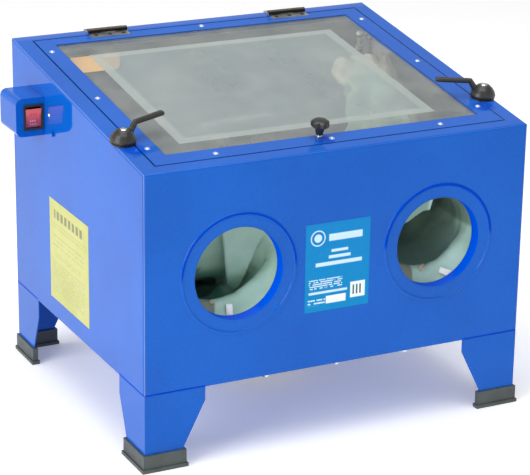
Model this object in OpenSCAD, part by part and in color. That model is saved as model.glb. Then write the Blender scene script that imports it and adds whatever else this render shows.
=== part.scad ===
// Bench sandblast cabinet: a folded sheet steel body on four angle legs, with a sloping
// window lid, two clamp levers, a lid knob, two glove ports, a blast gun, a working light
// and a hopper that drains through a slide gate.
// Millimetres. +Z is up, +X is right, the front faces -Y. The origin lies on the bench
// under the middle of the body.

/* [Body] */
// Width of the body over the side panels
body_w = 590; // [560:5:640]
// Depth of the body from front to rear
body_d = 490; // [470:5:520]
// Height of the body's bottom edge above the bench
base_h = 112; // [108:1:130]
// Height of the top edge at the front
front_h = 425; // [415:5:440]
// Height of the top edge at the rear
rear_h = 495; // [485:5:520]
// Thickness of the body sheet
sheet_t = 1.5; // [1.2:0.1:2]
// Outer radius of the folds
fold_r = 4; // [3:0.5:6]
// Width of the folded flange around the bottom edge
flange_w = 16; // [14:1:20]

/* [Lid] */
// Width of the deck strip at each side of the lid
deck_side = 25; // [24:1:30]
// Width of the deck strip in front of the lid
deck_front = 20; // [18:1:24]
// Width of the deck strip behind the lid
deck_rear = 21; // [20:1:26]
// Gap between the lid and the deck
lid_gap = 2.5; // [2:0.5:3]
// Width of the lid's side bars, measured from the deck opening
bar_side = 28; // [26:1:34]
// Width of the lid's front bar
bar_front = 30; // [29:1:36]
// Width of the lid's rear bar
bar_rear = 24; // [24:1:32]
// Depth of the lid's folded rim
rim_h = 10; // [8:1:11]
// Thickness of the window glass
glass_t = 3; // [3:0.5:4]
// Size of the replaceable film on the window, across and up the slope
film_size = [398, 324]; // [300:1:420]
// Distance between the centres of the two hinges
hinge_span = 300; // [260:10:340]
// Width of one hinge
hinge_w = 62; // [56:1:70]

/* [Clamps and knob] */
// Distance of each lever's pivot from the middle of the lid
lever_x = 281; // [280:0.5:283]
// Distance of each lever's pivot from the front edge, up the slope
lever_s = 102; // [80:1:140]
// Angle of the lever arms towards the rear at rest
lever_turn = 20; // [0:1:45]
// Length of a lever from its pivot to its tip
lever_len = 74; // [60:1:80]
// Place of the knob across the lid and up the slope
knob_at = [-16, 42.5]; // [-40:0.5:60]
// Radius of the knob's head over its lobes
knob_r = 13.2; // [12:0.1:15]

/* [Glove ports] */
// Distance of each glove port from the middle
port_x = 155; // [145:1:160]
// Height of the glove ports' centres above the bench
port_z = 268; // [262:1:275]
// Radius of the holes in the front panel
port_r = 68; // [66:0.5:69]
// Radius of the pressed ring around each port
bead_r = 85; // [82:0.5:88]

/* [Legs] */
// Width of the leg's front flange at the top and at the foot
leg_front = [90, 58]; // [50:1:100]
// Width of the leg's side flange at the top and at the foot
leg_side = [88, 65]; // [50:1:100]
// Height at which the leg flanges start to taper, front and side
leg_kink = [92, 84]; // [70:1:100]
// Height of the rubber boots
boot_h = 25; // [20:1:30]

/* [Switch box] */
// Place of the switch box's front face, towards the rear
box_y = 113; // [100:1:130]
// Height of the switch box's bottom
box_z = 381.5; // [370:0.5:395]
// Size of the switch box outwards, rearwards and upwards
box_size = [43, 65, 57]; // [40:1:80]

/* [Hidden] */
slope = atan((rear_h - front_h) / body_d);
slope_len = norm([body_d, rear_h - front_h]);
half_w = body_w / 2;
half_d = body_d / 2;
open_x = half_w - deck_side;
open_s0 = deck_front;
open_s1 = slope_len - deck_rear;
return_w = 8;
fit = 0.05;
gap = 0.3;
film_shift = -6;
ledge_n = -14;
retainer_t = 1.5;
leg_t = 2;
leg_inset = 1;
hinge_s = open_s1 + 2.4;
hinge_n = 4.4;
knuckle_r = 4;
knuckle_w = 20;
pin_r = 1.9;
stud_r = 3;
plate_n = 1.9;
plate_r = 17.5;
collar_len = 18;
hopper_z = base_h + sheet_t;
outlet_half = 40;
outlet_z = 58;
grate_z = 136;
grate_t = 2.5;
pickup_at = [20, 60];
inlet_at = [210, 452];
dust_at = [150, 330];
gun_at = [70, 214, 330];
trigger_at = [88, 214, 308];
lamp_at = [-172, half_d - sheet_t, 448.5];
inlet_x = -half_w - 9;
rocker_tilt = 7;
rocker_at = [-half_w - 17, box_y + 4, box_z + 28.5];
sleeve_sides = 24;
hose_sides = 12;

// Left sleeve and glove: the hand lies on the floor grate.
left_route = [
    [-155, -238, 268], [-155, -205, 268], [-155, -170, 266], [-151, -120, 254], [-145, -65, 232],
    [-137, -10, 208], [-128, 45, 188], [-121, 90, 175], [-116, 130, 168], [-113, 165, 166], [-112, 188, 165]
];
// Right sleeve and glove: the hand stands up towards the rear right corner.
right_route = [
    [155, -238, 268], [155, -205, 268], [156, -170, 271], [162, -120, 288], [173, -65, 318],
    [189, -10, 352], [207, 40, 384], [222, 78, 404], [233, 108, 417], [239, 132, 425], [242, 150, 429]
];
// Half widths of the sleeve across and upwards at each point of its route.
sleeve_radii = [
    [71, 71], [71, 71], [69, 69], [66, 66], [60, 60],
    [52, 52], [45, 42], [42, 30], [48, 23], [44, 20], [22, 10]
];
air_route = [
    [272.5, 210, 428], [272, 209, 410], [269, 206, 380], [262, 203, 330], [250, 203, 280], [228, 206, 235],
    [196, 211, 202], [160, 214, 188], [132, 214, 190], [115, 214, 205], [111, 214, 222], [110, 214, 232]
];
suction_route = [
    [38, 214, 297], [38, 213, 280], [37, 205, 257], [33, 184, 239], [28, 155, 231], [24, 120, 235],
    [21, 90, 243], [20, 70, 242], [20, 61, 230], [20, 60, 214], [20, 60, 200]
];
lamp_route = [
    [-294, 150, 412], [-282, 150, 412], [-270, 154, 414], [-259, 170, 421], [-251, 196, 432],
    [-242, 219, 442], [-230, 230, 447], [-214, 233, 448.5]
];

// ---------- shared helpers ----------

function unit(v) = v / norm(v);

// Height of the top surface at depth y, with the sheet's surface moved in by inset.
function top_z(y, inset) = front_h + (y + half_d) * tan(slope) - inset / cos(slope);

// Frame of the sloping top: x across, y up the slope from its front edge, z out of it.
module on_slope(x = 0, s = 0, n = 0) {
    translate([0, -half_d, front_h])
        rotate([slope, 0, 0])
            translate([x, s, n])
                children();
}

// Block between two corners.
module block(low, high) {
    translate(low)
        cube(high - low);
}

// Turns a shape extruded along Z so that it runs along -Y or along +X.
module along_y() {
    rotate([90, 0, 0])
        children();
}

module along_x() {
    rotate([0, 90, 0])
        children();
}

// Copies for the left and the right side.
module both_sides() {
    children();
    mirror([1, 0, 0])
        children();
}

// The sliver outside a fillet of radius r in the corner of an outline.
module corner_trim(before, corner, after, r) {
    u = unit(before - corner);
    v = unit(after - corner);
    half = acos(u * v) / 2;
    reach = r / tan(half);
    middle = corner + unit(u + v) * r / sin(half);
    difference() {
        polygon([corner - unit(u + v), corner + u * reach, middle, corner + v * reach]);
        translate(middle)
            circle(r = r, $fn = 48);
    }
}

// Rectangle with its four corners rounded.
module rounded_rect(low, high, r) {
    difference() {
        translate(low)
            square(high - low);
        for (x = [low[0], high[0]], y = [low[1], high[1]])
            corner_trim([low[0] + high[0] - x, y], [x, y], [x, low[1] + high[1] - y], r);
    }
}

// Flat ring on the slope between two offsets from the edge of the lid opening.
module slope_ring(outer, inner, n0, n1) {
    difference() {
        on_slope()
            block([-open_x + outer[0], open_s0 + outer[1], n0], [open_x - outer[0], open_s1 - outer[2], n1]);
        on_slope()
            block(
                [-open_x + inner[0], open_s0 + inner[1], n0 - 1],
                [open_x - inner[0], open_s1 - inner[2], n1 + 1]
            );
    }
}

// Small domed screw head standing on the plane z = 0.
module dome(r, h) {
    ball = (r * r + h * h) / (2 * h);
    rotate_extrude($fn = 32)
        intersection() {
            translate([0, h - ball])
                circle(r = ball, $fn = 64);
            square([r, h]);
        }
}

// Screw with a domed head and a shank that goes down to -depth.
module dome_screw(head_r, head_h, shank_r, depth) {
    dome(head_r, head_h);
    translate([0, 0, -depth])
        cylinder(r = shank_r, h = depth + 0.2, $fn = 24);
}

// Points of a smooth curve through the route, with steps to each span.
function spline_at(a, b, c, d, t) =
    b + (c - a) * t / 2 + (2 * a - 5 * b + 4 * c - d) * t * t / 2 + (3 * b - a - 3 * c + d) * t * t * t / 2;

function smooth(p, steps) = [
    for (i = [0:len(p) - 2], k = [0:steps - 1])
        spline_at(p[max(i - 1, 0)], p[i], p[i + 1], p[min(i + 2, len(p) - 1)], k / steps),
    p[len(p) - 1]
];

function heading(p, i) = unit(p[min(i + 1, len(p) - 1)] - p[max(i - 1, 0)]);

function ring_at(p, i, r, sides, up) =
    let (u = unit(cross(heading(p, i), up)), v = cross(u, heading(p, i)))
    [for (k = [0:sides - 1]) p[i] + r[0] * cos(360 * k / sides) * u + r[1] * sin(360 * k / sides) * v];

function ring_walls(rings, sides, first, flip) = [
    for (i = [0:rings - 2], k = [0:sides - 1])
        let (a = first + i * sides + k, b = first + i * sides + (k + 1) % sides)
        flip ? [a, a + sides, b + sides, b] : [a, b, b + sides, a + sides]
];

// Solid of oval rings along a path.
module swept(p, radii, sides, up) {
    rings = len(p);
    last = (rings - 1) * sides;
    points = [for (i = [0:rings - 1]) each ring_at(p, i, radii[i], sides, up)];
    start_cap = [for (k = [0:sides - 1]) sides - 1 - k];
    end_cap = [for (k = [0:sides - 1]) last + k];
    polyhedron(points, concat(ring_walls(rings, sides, 0, false), [start_cap, end_cap]), convexity = 8);
}

// Round hose along a route.
module hose(route, r, steps, up) {
    p = smooth(route, steps);
    swept(p, [for (q = p) [r, r]], hose_sides, up);
}

// ---------- body ----------

// Solid outline of the body, with its faces moved in by inset.
module body_form(inset) {
    r = fold_r - inset;
    front = -half_d + inset;
    rear = half_d - inset;
    low = base_h + inset;
    corners = [[front, low], [rear, low], [rear, top_z(rear, inset)], [front, top_z(front, inset)]];
    intersection() {
        rotate([90, 0, 90])
            linear_extrude(height = body_w + 20, center = true)
                difference() {
                    polygon(corners);
                    corner_trim(corners[1], corners[2], corners[3], r);
                    corner_trim(corners[2], corners[3], corners[0], r);
                }
        linear_extrude(height = rear_h + 20)
            rounded_rect([-half_w + inset, front], [half_w - inset, rear], r);
        on_slope(0, slope_len + 50, 0)
            along_y()
                linear_extrude(height = slope_len + 100)
                    difference() {
                        translate([-half_w + inset, -rear_h])
                            square([body_w - 2 * inset, rear_h - inset]);
                        for (side = [-1, 1])
                            corner_trim(
                                [side * (half_w - inset), -rear_h],
                                [side * (half_w - inset), -inset],
                                [0, -inset],
                                r
                            );
                    }
    }
}

// All the folded sheet of the body, open under the lid and inside the bottom flange.
module body_sheet() {
    difference() {
        body_form(0);
        body_form(sheet_t);
        block([-half_w + flange_w, -half_d + flange_w, 0], [half_w - flange_w, half_d - flange_w, base_h + 5]);
        on_slope()
            block([-open_x, open_s0, -6], [open_x, open_s1, 5]);
    }
}

// The part of the sheet that one of the two cross panels is cut from: face, folded corners,
// deck strip and bottom flange. The front one is drawn, and the rear one passes end = 1.
module cross_zone(end) {
    face = end * (half_d - return_w);
    s0 = end < 0 ? -5 : open_s1;
    s1 = end < 0 ? open_s0 : slope_len + 5;
    block([-half_w - 1, min(face, end * (half_d + 1)), 0], [half_w + 1, max(face, end * (half_d + 1)), rear_h + 9]);
    on_slope()
        block([-open_x, s0, -6], [open_x, s1, 5]);
    translate([0, end * (half_d - flange_w / 2), base_h])
        cube([body_w - 2 * flange_w, flange_w + 1, 6], center = true);
}

module bolt_holes() {
    for (at = concat(hopper_bolt_spots(), leg_bolt_spots()))
        translate([at[0], at[1], base_h - 5])
            cylinder(r = 2.6, h = 20, $fn = 24);
}

module front_panel() {
    color("royalblue") {
        difference() {
            intersection() {
                body_sheet();
                cross_zone(-1);
            }
            for (side = [-1, 1])
                translate([side * port_x, -half_d + 10, port_z])
                    along_y()
                        cylinder(r = port_r + fit, h = 20, $fn = 96);
            bolt_holes();
        }
        for (side = [-1, 1])
            translate([side * port_x, -half_d, port_z])
                along_y()
                    difference() {
                        rotate_extrude($fn = 96)
                            translate([bead_r, -1.2])
                                circle(r = 3, $fn = 32);
                        translate([0, 0, -10])
                            cylinder(r = bead_r + 10, h = 9, $fn = 96);
                    }
    }
}

module rear_panel() {
    color("royalblue")
        difference() {
            intersection() {
                body_sheet();
                cross_zone(1);
            }
            bolt_holes();
        }
}

// Side panel on the left, before its own holes.
module side_sheet() {
    intersection() {
        body_sheet();
        block([-half_w - 1, -half_d + return_w, 0], [-open_x, half_d - return_w, rear_h + 9]);
        union() {
            block([-half_w - 1, -half_d, 0], [-half_w + flange_w, half_d, rear_h + 9]);
            on_slope()
                block([-half_w - 1, 0, -6], [-open_x, slope_len, 5]);
        }
    }
}

module lever_hole() {
    on_slope(-lever_x, lever_s, -8)
        cylinder(r = 5, h = 16, $fn = 32);
}

module left_panel() {
    color("royalblue")
        difference() {
            side_sheet();
            lever_hole();
            bolt_holes();
            translate([-half_w - 5, lamp_route[0][1], lamp_route[0][2]])
                along_x()
                    cylinder(r = 3.5, h = 10, $fn = 24);
        }
}

module right_panel() {
    color("royalblue")
        difference() {
            mirror([1, 0, 0])
                side_sheet();
            mirror([1, 0, 0])
                lever_hole();
            bolt_holes();
            translate([half_w - 5, inlet_at[0], inlet_at[1]])
                along_x()
                    cylinder(r = 8.1, h = 10, $fn = 32);
            translate([half_w - 5, dust_at[0], dust_at[1]])
                along_x()
                    cylinder(r = 25.6, h = 10, $fn = 64);
        }
}

// Angle ring under the deck that carries the lid seal.
module lid_ledge() {
    color("royalblue") {
        slope_ring([-1.5, -1.5, -1.5], [0, 0, 0], ledge_n, -sheet_t);
        slope_ring([-1.5, -1.5, -1.5], [16, 16, 16], ledge_n, ledge_n + 1.5);
    }
}

module lid_seal() {
    color("dimgray")
        slope_ring([7, 8, 8], [13, 14, 14], ledge_n + 1.5, -4.5 - retainer_t - gap);
}

// Nuts welded under the side strips, one under each lever.
module clamp_nuts() {
    color("silver")
        both_sides()
            on_slope(-lever_x, lever_s, -sheet_t - 6)
                difference() {
                    cylinder(r = 8, h = 6, $fn = 6);
                    translate([0, 0, -1])
                        cylinder(r = 5, h = 8, $fn = 32);
                }
}

// ---------- hopper ----------

function hopper_bolt_spots() = [
    for (x = [-110, 0, 110], y = [-1, 1]) [x, y * (half_d - 8)],
    for (x = [-1, 1], y = [-70, 70]) [x * (half_w - 8), y]
];

// One sloping side of the funnel, the front one: a folded sheet cut to a trapezium in plan.
module funnel_side(reach_x, reach_y) {
    far_y = -reach_y;
    near_y = -outlet_half;
    drop = 1.6;
    intersection() {
        rotate([90, 0, 90])
            linear_extrude(height = 2 * reach_x, center = true)
                polygon([
                    [far_y, hopper_z + 1.5], [near_y, outlet_z],
                    [near_y, outlet_z - drop], [far_y, hopper_z + 1.5 - drop]
                ]);
        linear_extrude(height = hopper_z + 20)
            polygon([[-reach_x, far_y], [reach_x, far_y], [outlet_half, near_y], [-outlet_half, near_y]]);
    }
}

module hopper() {
    reach_x = half_w - 25;
    reach_y = half_d - 25;
    color("royalblue") {
        for (turn = [0, 180])
            rotate([0, 0, turn])
                funnel_side(reach_x, reach_y);
        for (turn = [90, 270])
            rotate([0, 0, turn])
                funnel_side(reach_y, reach_x);
        difference() {
            block(
                [-half_w + 3, -half_d + 3, hopper_z],
                [half_w - 3, half_d - 3, hopper_z + 1.5]
            );
            block([-reach_x, -reach_y, hopper_z - 1], [reach_x, reach_y, hopper_z + 3]);
            bolt_holes();
        }
    }
}

// Square neck under the funnel, with the two rails that the gate slides in.
module hopper_outlet() {
    inner = outlet_half;
    outer = outlet_half + 2;
    color("royalblue") {
        difference() {
            block([-outer, -outer, 44], [outer, outer, outlet_z - 1.6]);
            block([-inner, -inner, 40], [inner, inner, outlet_z + 5]);
        }
        difference() {
            block([-52, -52, 44], [52, 52, 46]);
            block([-inner, -inner, 40], [inner, inner, 50]);
        }
        for (side = [-1, 1])
            scale([1, side, 1]) {
                block([-52, 47.5, 38], [52, 50, 44]);
                block([-52, 43, 38], [52, 50, 39.5]);
            }
        block([-52, -50, 38], [-50, 50, 44]);
    }
}

module outlet_gate() {
    color("silver") {
        block([-49.5, -47, 39.8], [56, 47, 43.6]);
        block([56, -22, 37.5], [60, 22, 43.6]);
    }
}

// Hex bolt through the bottom flange, head above and nut below.
module flange_bolt(top, bottom) {
    translate([0, 0, top])
        cylinder(r = 5.2, h = 3.6, $fn = 6);
    translate([0, 0, bottom - 3.8])
        cylinder(r = 5.2, h = 3.8, $fn = 6);
    translate([0, 0, bottom - 5])
        cylinder(r = 2.5, h = top - bottom + 6, $fn = 24);
}

module hopper_bolts() {
    color("silver")
        for (at = hopper_bolt_spots())
            translate([at[0], at[1], 0])
                flange_bolt(hopper_z + 1.5, base_h);
}

// ---------- legs ----------

function leg_bolt_spots() = [
    for (x = [-1, 1], y = [-1, 1], spot = [[52, 9], [9, 52]])
        [x * (half_w - spot[0]), y * (half_d - spot[1])]
];

// Outline of one leg flange, from its corner edge outwards.
module leg_outline(widths, kink) {
    polygon([[0, 6], [0, base_h], [widths[0], base_h], [widths[0], kink], [widths[1], boot_h + 3], [widths[1], 6]]);
}

// Leg of the front left corner.
module leg() {
    color("royalblue")
        translate([-half_w + leg_inset, -half_d + leg_inset, 0])
            difference() {
                union() {
                    translate([0, leg_t, 0])
                        along_y()
                            linear_extrude(height = leg_t)
                                leg_outline(leg_front, leg_kink[0]);
                    rotate([90, 0, 90])
                        linear_extrude(height = leg_t)
                            leg_outline(leg_side, leg_kink[1]);
                    block([0, 0, base_h - leg_t], [leg_front[0], 18, base_h]);
                    block([0, 0, base_h - leg_t], [18, leg_side[0], base_h]);
                }
                for (spot = [[51, 8], [8, 51]])
                    translate([spot[0], spot[1], base_h - 10])
                        cylinder(r = 2.6, h = 20, $fn = 24);
            }
}

module leg_front_left() {
    leg();
}

module leg_front_right() {
    mirror([1, 0, 0])
        leg();
}

module leg_rear_left() {
    mirror([0, 1, 0])
        leg();
}

module leg_rear_right() {
    rotate([0, 0, 180])
        leg();
}

// Angle outline around the foot of the front left leg, grown by a margin.
module boot_outline(margin) {
    difference() {
        translate([-margin, -margin])
            square([leg_front[1] + 2 * margin, leg_side[1] + 2 * margin]);
        translate([leg_t + margin, leg_t + margin])
            square([leg_front[1] + 20, leg_side[1] + 20]);
    }
}

module boot() {
    translate([-half_w + leg_inset, -half_d + leg_inset, 0])
        difference() {
            union() {
                linear_extrude(height = 5)
                    boot_outline(5);
                linear_extrude(height = boot_h)
                    boot_outline(3);
            }
            translate([0, 0, 6])
                linear_extrude(height = boot_h)
                    boot_outline(0);
        }
}

module rubber_boots() {
    color("dimgray")
        both_sides() {
            boot();
            mirror([0, 1, 0])
                boot();
        }
}

module leg_bolts() {
    color("silver")
        for (at = leg_bolt_spots())
            translate([at[0], at[1], 0])
                flange_bolt(hopper_z + 1.5, base_h - leg_t);
}

// ---------- glove ports ----------

module port_tube(outer, inner, y0, y1) {
    for (side = [-1, 1])
        translate([side * port_x, y1, port_z])
            along_y()
                difference() {
                    cylinder(r = outer, h = y1 - y0, $fn = 96);
                    translate([0, 0, -1])
                        cylinder(r = inner, h = y1 - y0 + 2, $fn = 96);
                }
}

module port_collars() {
    color("royalblue")
        port_tube(port_r, port_r - 2, -half_d, -half_d + collar_len);
}

module sleeve_clamps() {
    y = -half_d + 9;
    color("silver") {
        port_tube(72.2, 71.2, y, y + 7);
        for (side = [-1, 1])
            translate([side * port_x - 6, y, port_z + 71.7])
                cube([12, 7, 7]);
    }
}

// Hollow sleeve with a closed glove at its end.
module glove(route) {
    steps = 2;
    wall = 2;
    p = smooth(route, steps);
    r = smooth(sleeve_radii, steps);
    rings = len(p);
    up = [0, 0, 1];
    inner_last = rings - 2;
    outer = [for (i = [0:rings - 1]) each ring_at(p, i, r[i], sleeve_sides, up)];
    inner = [for (i = [0:inner_last]) each ring_at(p, i, r[i] - [wall, wall], sleeve_sides, up)];
    first = len(outer);
    mouth = [
        for (k = [0:sleeve_sides - 1])
            let (m = (k + 1) % sleeve_sides)
            [first + k, first + m, m, k]
    ];
    outer_cap = [for (k = [0:sleeve_sides - 1]) (rings - 1) * sleeve_sides + k];
    inner_cap = [for (k = [0:sleeve_sides - 1]) first + inner_last * sleeve_sides + sleeve_sides - 1 - k];
    polyhedron(
        concat(outer, inner),
        concat(
            ring_walls(rings, sleeve_sides, 0, false),
            ring_walls(inner_last + 1, sleeve_sides, first, true),
            mouth, [outer_cap], [inner_cap]
        ),
        convexity = 10
    );
}

module glove_left() {
    color("darkseagreen")
        glove(left_route);
}

module glove_right() {
    color("darkseagreen")
        glove(right_route);
}

// ---------- inside ----------

module floor_grate() {
    slot = [52, 13];
    color("gray")
        difference() {
            block([-284, -234, grate_z], [284, 234, grate_z + grate_t]);
            for (x = [-4:4], y = [-9:9])
                if (!(x == 0 && (y == 2 || y == 3)))
                    translate([x * 61 - slot[0] / 2, y * 24 - slot[1] / 2, grate_z - 1])
                        cube([slot[0], slot[1], grate_t + 2]);
            translate([pickup_at[0], pickup_at[1], grate_z - 1])
                cylinder(r = 11, h = grate_t + 2, $fn = 32);
        }
}

module grate_rails() {
    color("royalblue")
        both_sides() {
            block([-half_w + sheet_t, -200, grate_z - 14], [-half_w + sheet_t + 2, 200, grate_z]);
            block([-half_w + sheet_t, -200, grate_z - 2], [-half_w + sheet_t + 20, 200, grate_z]);
        }
}

// Spigot for a dust extraction hose, with its square flange on the right panel.
module dust_port() {
    color("black")
        translate([half_w, dust_at[0], dust_at[1]])
            along_x()
                difference() {
                    union() {
                        translate([-37, -37, 0])
                            cube([74, 74, 3]);
                        translate([0, 0, -4])
                            cylinder(r = 25.5, h = 4 + box_size[0], $fn = 64);
                    }
                    translate([0, 0, -5])
                        cylinder(r = 23.5, h = 10 + box_size[0], $fn = 64);
                }
}

function dust_screw_spots() = [for (y = [-30, 30], z = [-30, 30]) [dust_at[0] + y, dust_at[1] + z]];

// Screws of the dust port, and the one beside the switch box.
module panel_screws() {
    color("silver") {
        for (at = dust_screw_spots())
            translate([half_w + 3, at[0], at[1]])
                along_x()
                    dome(3.6, 2.2);
        translate([-half_w, box_y - 19, box_z + 34.5])
            rotate([0, -90, 0])
                dome(3, 2);
    }
}

// Quick plug and hex body outside the right panel, threaded neck through it.
module air_inlet() {
    tip = box_size[0];
    color("silver")
        translate([half_w, inlet_at[0], inlet_at[1]])
            along_x() {
                difference() {
                    union() {
                        cylinder(r = 13, h = 9, $fn = 6);
                        translate([0, 0, -6])
                            cylinder(r = 8, h = 7, $fn = 48);
                        translate([0, 0, 8])
                            cylinder(r = 8, h = 10, $fn = 48);
                        translate([0, 0, 17])
                            cylinder(r = 5, h = tip - 17, $fn = 48);
                        translate([0, 0, 27])
                            cylinder(r = 6.4, h = 4, $fn = 48);
                    }
                    translate([0, 0, -13])
                        cylinder(r = 3, h = tip + 14, $fn = 32);
                }
            }
}

// Hex nut inside the right panel, with the ball elbow that turns the air down.
module air_elbow() {
    color("silver")
        translate([half_w - sheet_t, inlet_at[0], inlet_at[1]])
            difference() {
                union() {
                    translate([-8, 0, 0])
                        along_x()
                            cylinder(r = 12, h = 8, $fn = 6);
                    translate([-20, 0, 0])
                        along_x()
                            cylinder(r = 3.6, h = 13, $fn = 48);
                    translate([-21, 0, 0])
                        sphere(r = 6.2, $fn = 48);
                    translate([-21, 0, -20])
                        cylinder(r = 3.6, h = 17, $fn = 48);
                    translate([-21, 0, -11])
                        cylinder(r = 4.8, h = 3, $fn = 48);
                    translate([-21, 0, -24])
                        cylinder(r = 6.5, h = 7, $fn = 48);
                }
                translate([-4.6, 0, 0])
                    along_x()
                        cylinder(r = 8, h = 20, $fn = 48);
            }
}

module air_hose() {
    color("black")
        hose(air_route, 5.5, 2, [0, 1, 0]);
}

module suction_hose() {
    color("black")
        hose(suction_route, 7, 2, [1, 0, 0]);
}

module lamp_cable() {
    color("black")
        hose(lamp_route, 2.2, 2, [0, 0, 1]);
}

module pickup_tube() {
    color("silver")
        translate([pickup_at[0], pickup_at[1], 0])
            difference() {
                translate([0, 0, 76])
                    cylinder(r = 7, h = 124, $fn = 48);
                translate([0, 0, 70])
                    cylinder(r = 5.5, h = 140, $fn = 48);
                for (z = [82, 90])
                    translate([0, 0, z])
                        along_y()
                            cylinder(r = 2, h = 20, center = true, $fn = 24);
            }
}

// Cast gun: barrel along X with its nozzle end on the left, grip hanging down at the right.
module gun_body() {
    color("gainsboro")
        difference() {
            union() {
                translate(gun_at + [-44, 0, 0])
                    along_x()
                        cylinder(r = 13, h = 96, $fn = 64);
                translate(gun_at + [52, 0, 0])
                    sphere(r = 13, $fn = 64);
                translate(gun_at + [-32, 0, -26])
                    cylinder(r = 9, h = 20, $fn = 48);
                translate(gun_at + [-32, 0, -33])
                    cylinder(r = 5.5, h = 10, $fn = 32);
                hull() {
                    translate(gun_at + [40, 0, -8])
                        cube([28, 20, 4], center = true);
                    translate(gun_at + [40, 0, -78])
                        cube([24, 22, 8], center = true);
                }
                translate(gun_at + [40, 0, -98])
                    cylinder(r = 6, h = 18, $fn = 32);
                translate(trigger_at + [-6, -7.5, -6])
                    cube([12, 15, 19]);
            }
            translate(gun_at + [-46, 0, 0])
                along_x()
                    cylinder(r = 8, h = 34, $fn = 48);
            translate(trigger_at + [-22, -3.6, -16])
                cube([30, 7.2, 21]);
            translate(trigger_at + [0, 15, 0])
                along_y()
                    cylinder(r = 1.5, h = 30, $fn = 32);
        }
}

module gun_nozzle() {
    color("ivory")
        translate(gun_at)
            along_x()
                difference() {
                    union() {
                        translate([0, 0, -44])
                            cylinder(r = 8, h = 20, $fn = 48);
                        translate([0, 0, -72])
                            cylinder(r1 = 6.5, r2 = 9.5, h = 28, $fn = 48);
                    }
                    translate([0, 0, -73])
                        cylinder(r = 3, h = 50, $fn = 32);
                }
}

module trigger_pin() {
    color("silver")
        translate(trigger_at + [0, 8.5, 0])
            along_y()
                cylinder(r = 1.5, h = 17, $fn = 32);
}

// Curved trigger blade that hangs from the pin in front of the grip.
module gun_trigger() {
    color("firebrick")
        translate(trigger_at)
            difference() {
                translate([0, 3.2, 0])
                    along_y() {
                        cylinder(r = 4.2, h = 6.4, $fn = 32);
                        linear_extrude(height = 6.4)
                            polygon([[-3, 0], [3, 0], [1, -8], [-6, -22], [-13, -42], [-17, -41], [-11, -20], [-5, -8]]);
                    }
                translate([0, 15, 0])
                    along_y()
                        cylinder(r = 1.5 + fit, h = 30, $fn = 32);
            }
}

// Bent rod cradle on the rear panel under the gun's barrel.
module gun_hook() {
    wall_y = half_d - sheet_t;
    color("silver")
        for (x = [-20, 0])
            translate(gun_at + [x, 0, 0]) {
                translate([0, wall_y - gun_at[1], -16])
                    along_y()
                        cylinder(r = 2.5, h = wall_y - gun_at[1] + 16, $fn = 24);
                translate([0, -16, -16])
                    cylinder(r = 2.5, h = 14, $fn = 24);
                translate([0, wall_y - gun_at[1], -16])
                    along_y()
                        cylinder(r = 7, h = 2, $fn = 32);
            }
}

// ---------- switch and light ----------

module box_outline(inset) {
    low = [-half_w - box_size[0] + inset, box_z + inset];
    high = [-half_w, box_z + box_size[2] - inset];
    r = 10 - inset;
    difference() {
        translate(low)
            square(high - low);
        corner_trim([high[0], low[1]], low, [low[0], high[1]], r);
        corner_trim(low, [low[0], high[1]], high, r);
    }
}

// Shell of the switch box, open to the panel, with a small cable tab on the panel in front of it.
module switch_box() {
    color("royalblue") {
        difference() {
            translate([0, box_y + box_size[1], 0])
                along_y()
                    linear_extrude(height = box_size[1])
                        box_outline(0);
            translate([0, box_y + box_size[1] - 2, 0])
                along_y()
                    linear_extrude(height = box_size[1] - 4)
                        box_outline(2);
            block([-half_w - 4, box_y + 2, box_z + 2], [-half_w + 1, box_y + box_size[1] - 2, box_z + box_size[2] - 2]);
            translate(rocker_at + [-13.6, -20, -17.6])
                cube([27.2, 30, 35.2]);
            translate([inlet_x, box_y + 40, box_z - 1])
                cylinder(r = 3, h = 4, $fn = 24);
        }
        block([-half_w - 3, box_y - 37, box_z + 7.5], [-half_w, box_y - 33.5, box_z + 15.5]);
    }
}

// Frame of the rocker switch, with its case inside the box.
module switch_bezel() {
    color("black")
        translate(rocker_at)
            difference() {
                union() {
                    block([-15, -6, -19], [15, -4, 19]);
                    block([-13.5, -4, -17.5], [13.5, 16, 17.5]);
                }
                block([-11.8, -10, -15.6], [11.8, 12, 15.6]);
                translate([-13, 0, 0])
                    along_x()
                        cylinder(r = 1.5 + fit, h = 26, $fn = 24);
            }
}

module rocker() {
    profile = [[-6, -6], [-6, 6], [6.2, 13.9], [4.2, 0], [6.2, -13.9]];
    color("red")
        translate(rocker_at)
            rotate([rocker_tilt, 0, 0]) {
                rotate([90, 0, 90])
                    linear_extrude(height = 23, center = true)
                        polygon([for (p = profile) [-p[0], p[1]]]);
                along_x()
                    cylinder(r = 1.5, h = 25.6, center = true, $fn = 24);
            }
}

// Small gland under the switch box where a low voltage lead would enter.
module power_inlet() {
    color("black")
        translate([inlet_x, box_y + 40, box_z])
            difference() {
                union() {
                    translate([0, 0, -7])
                        cylinder(r = 4.5, h = 7, $fn = 32);
                    translate([0, 0, -3])
                        cylinder(r = 6, h = 3, $fn = 6);
                }
                translate([0, 0, -8])
                    cylinder(r = 2.5, h = 8, $fn = 24);
            }
}

// Bulkhead light on the rear panel, open towards the work.
module lamp_housing() {
    color("dimgray")
        translate(lamp_at)
            difference() {
                block([-42, -22, -15], [42, 0, 15]);
                block([-39, -23, -12], [39, -3, 12]);
            }
}

module lamp_lens() {
    color("lemonchiffon")
        translate(lamp_at)
            along_y()
                translate([0, 0, 3])
                    linear_extrude(height = 22)
                        rounded_rect([-39, -12], [39, 12], 5);
}

// ---------- labels ----------

module front_label() {
    color("lightskyblue")
        block([-55, -half_d - 0.3, 194], [45, -half_d, 322]);
}

module side_label() {
    color("khaki")
        block([-half_w - 0.3, -51, 140], [-half_w, 98, 293]);
}

// ---------- hinges ----------

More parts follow.
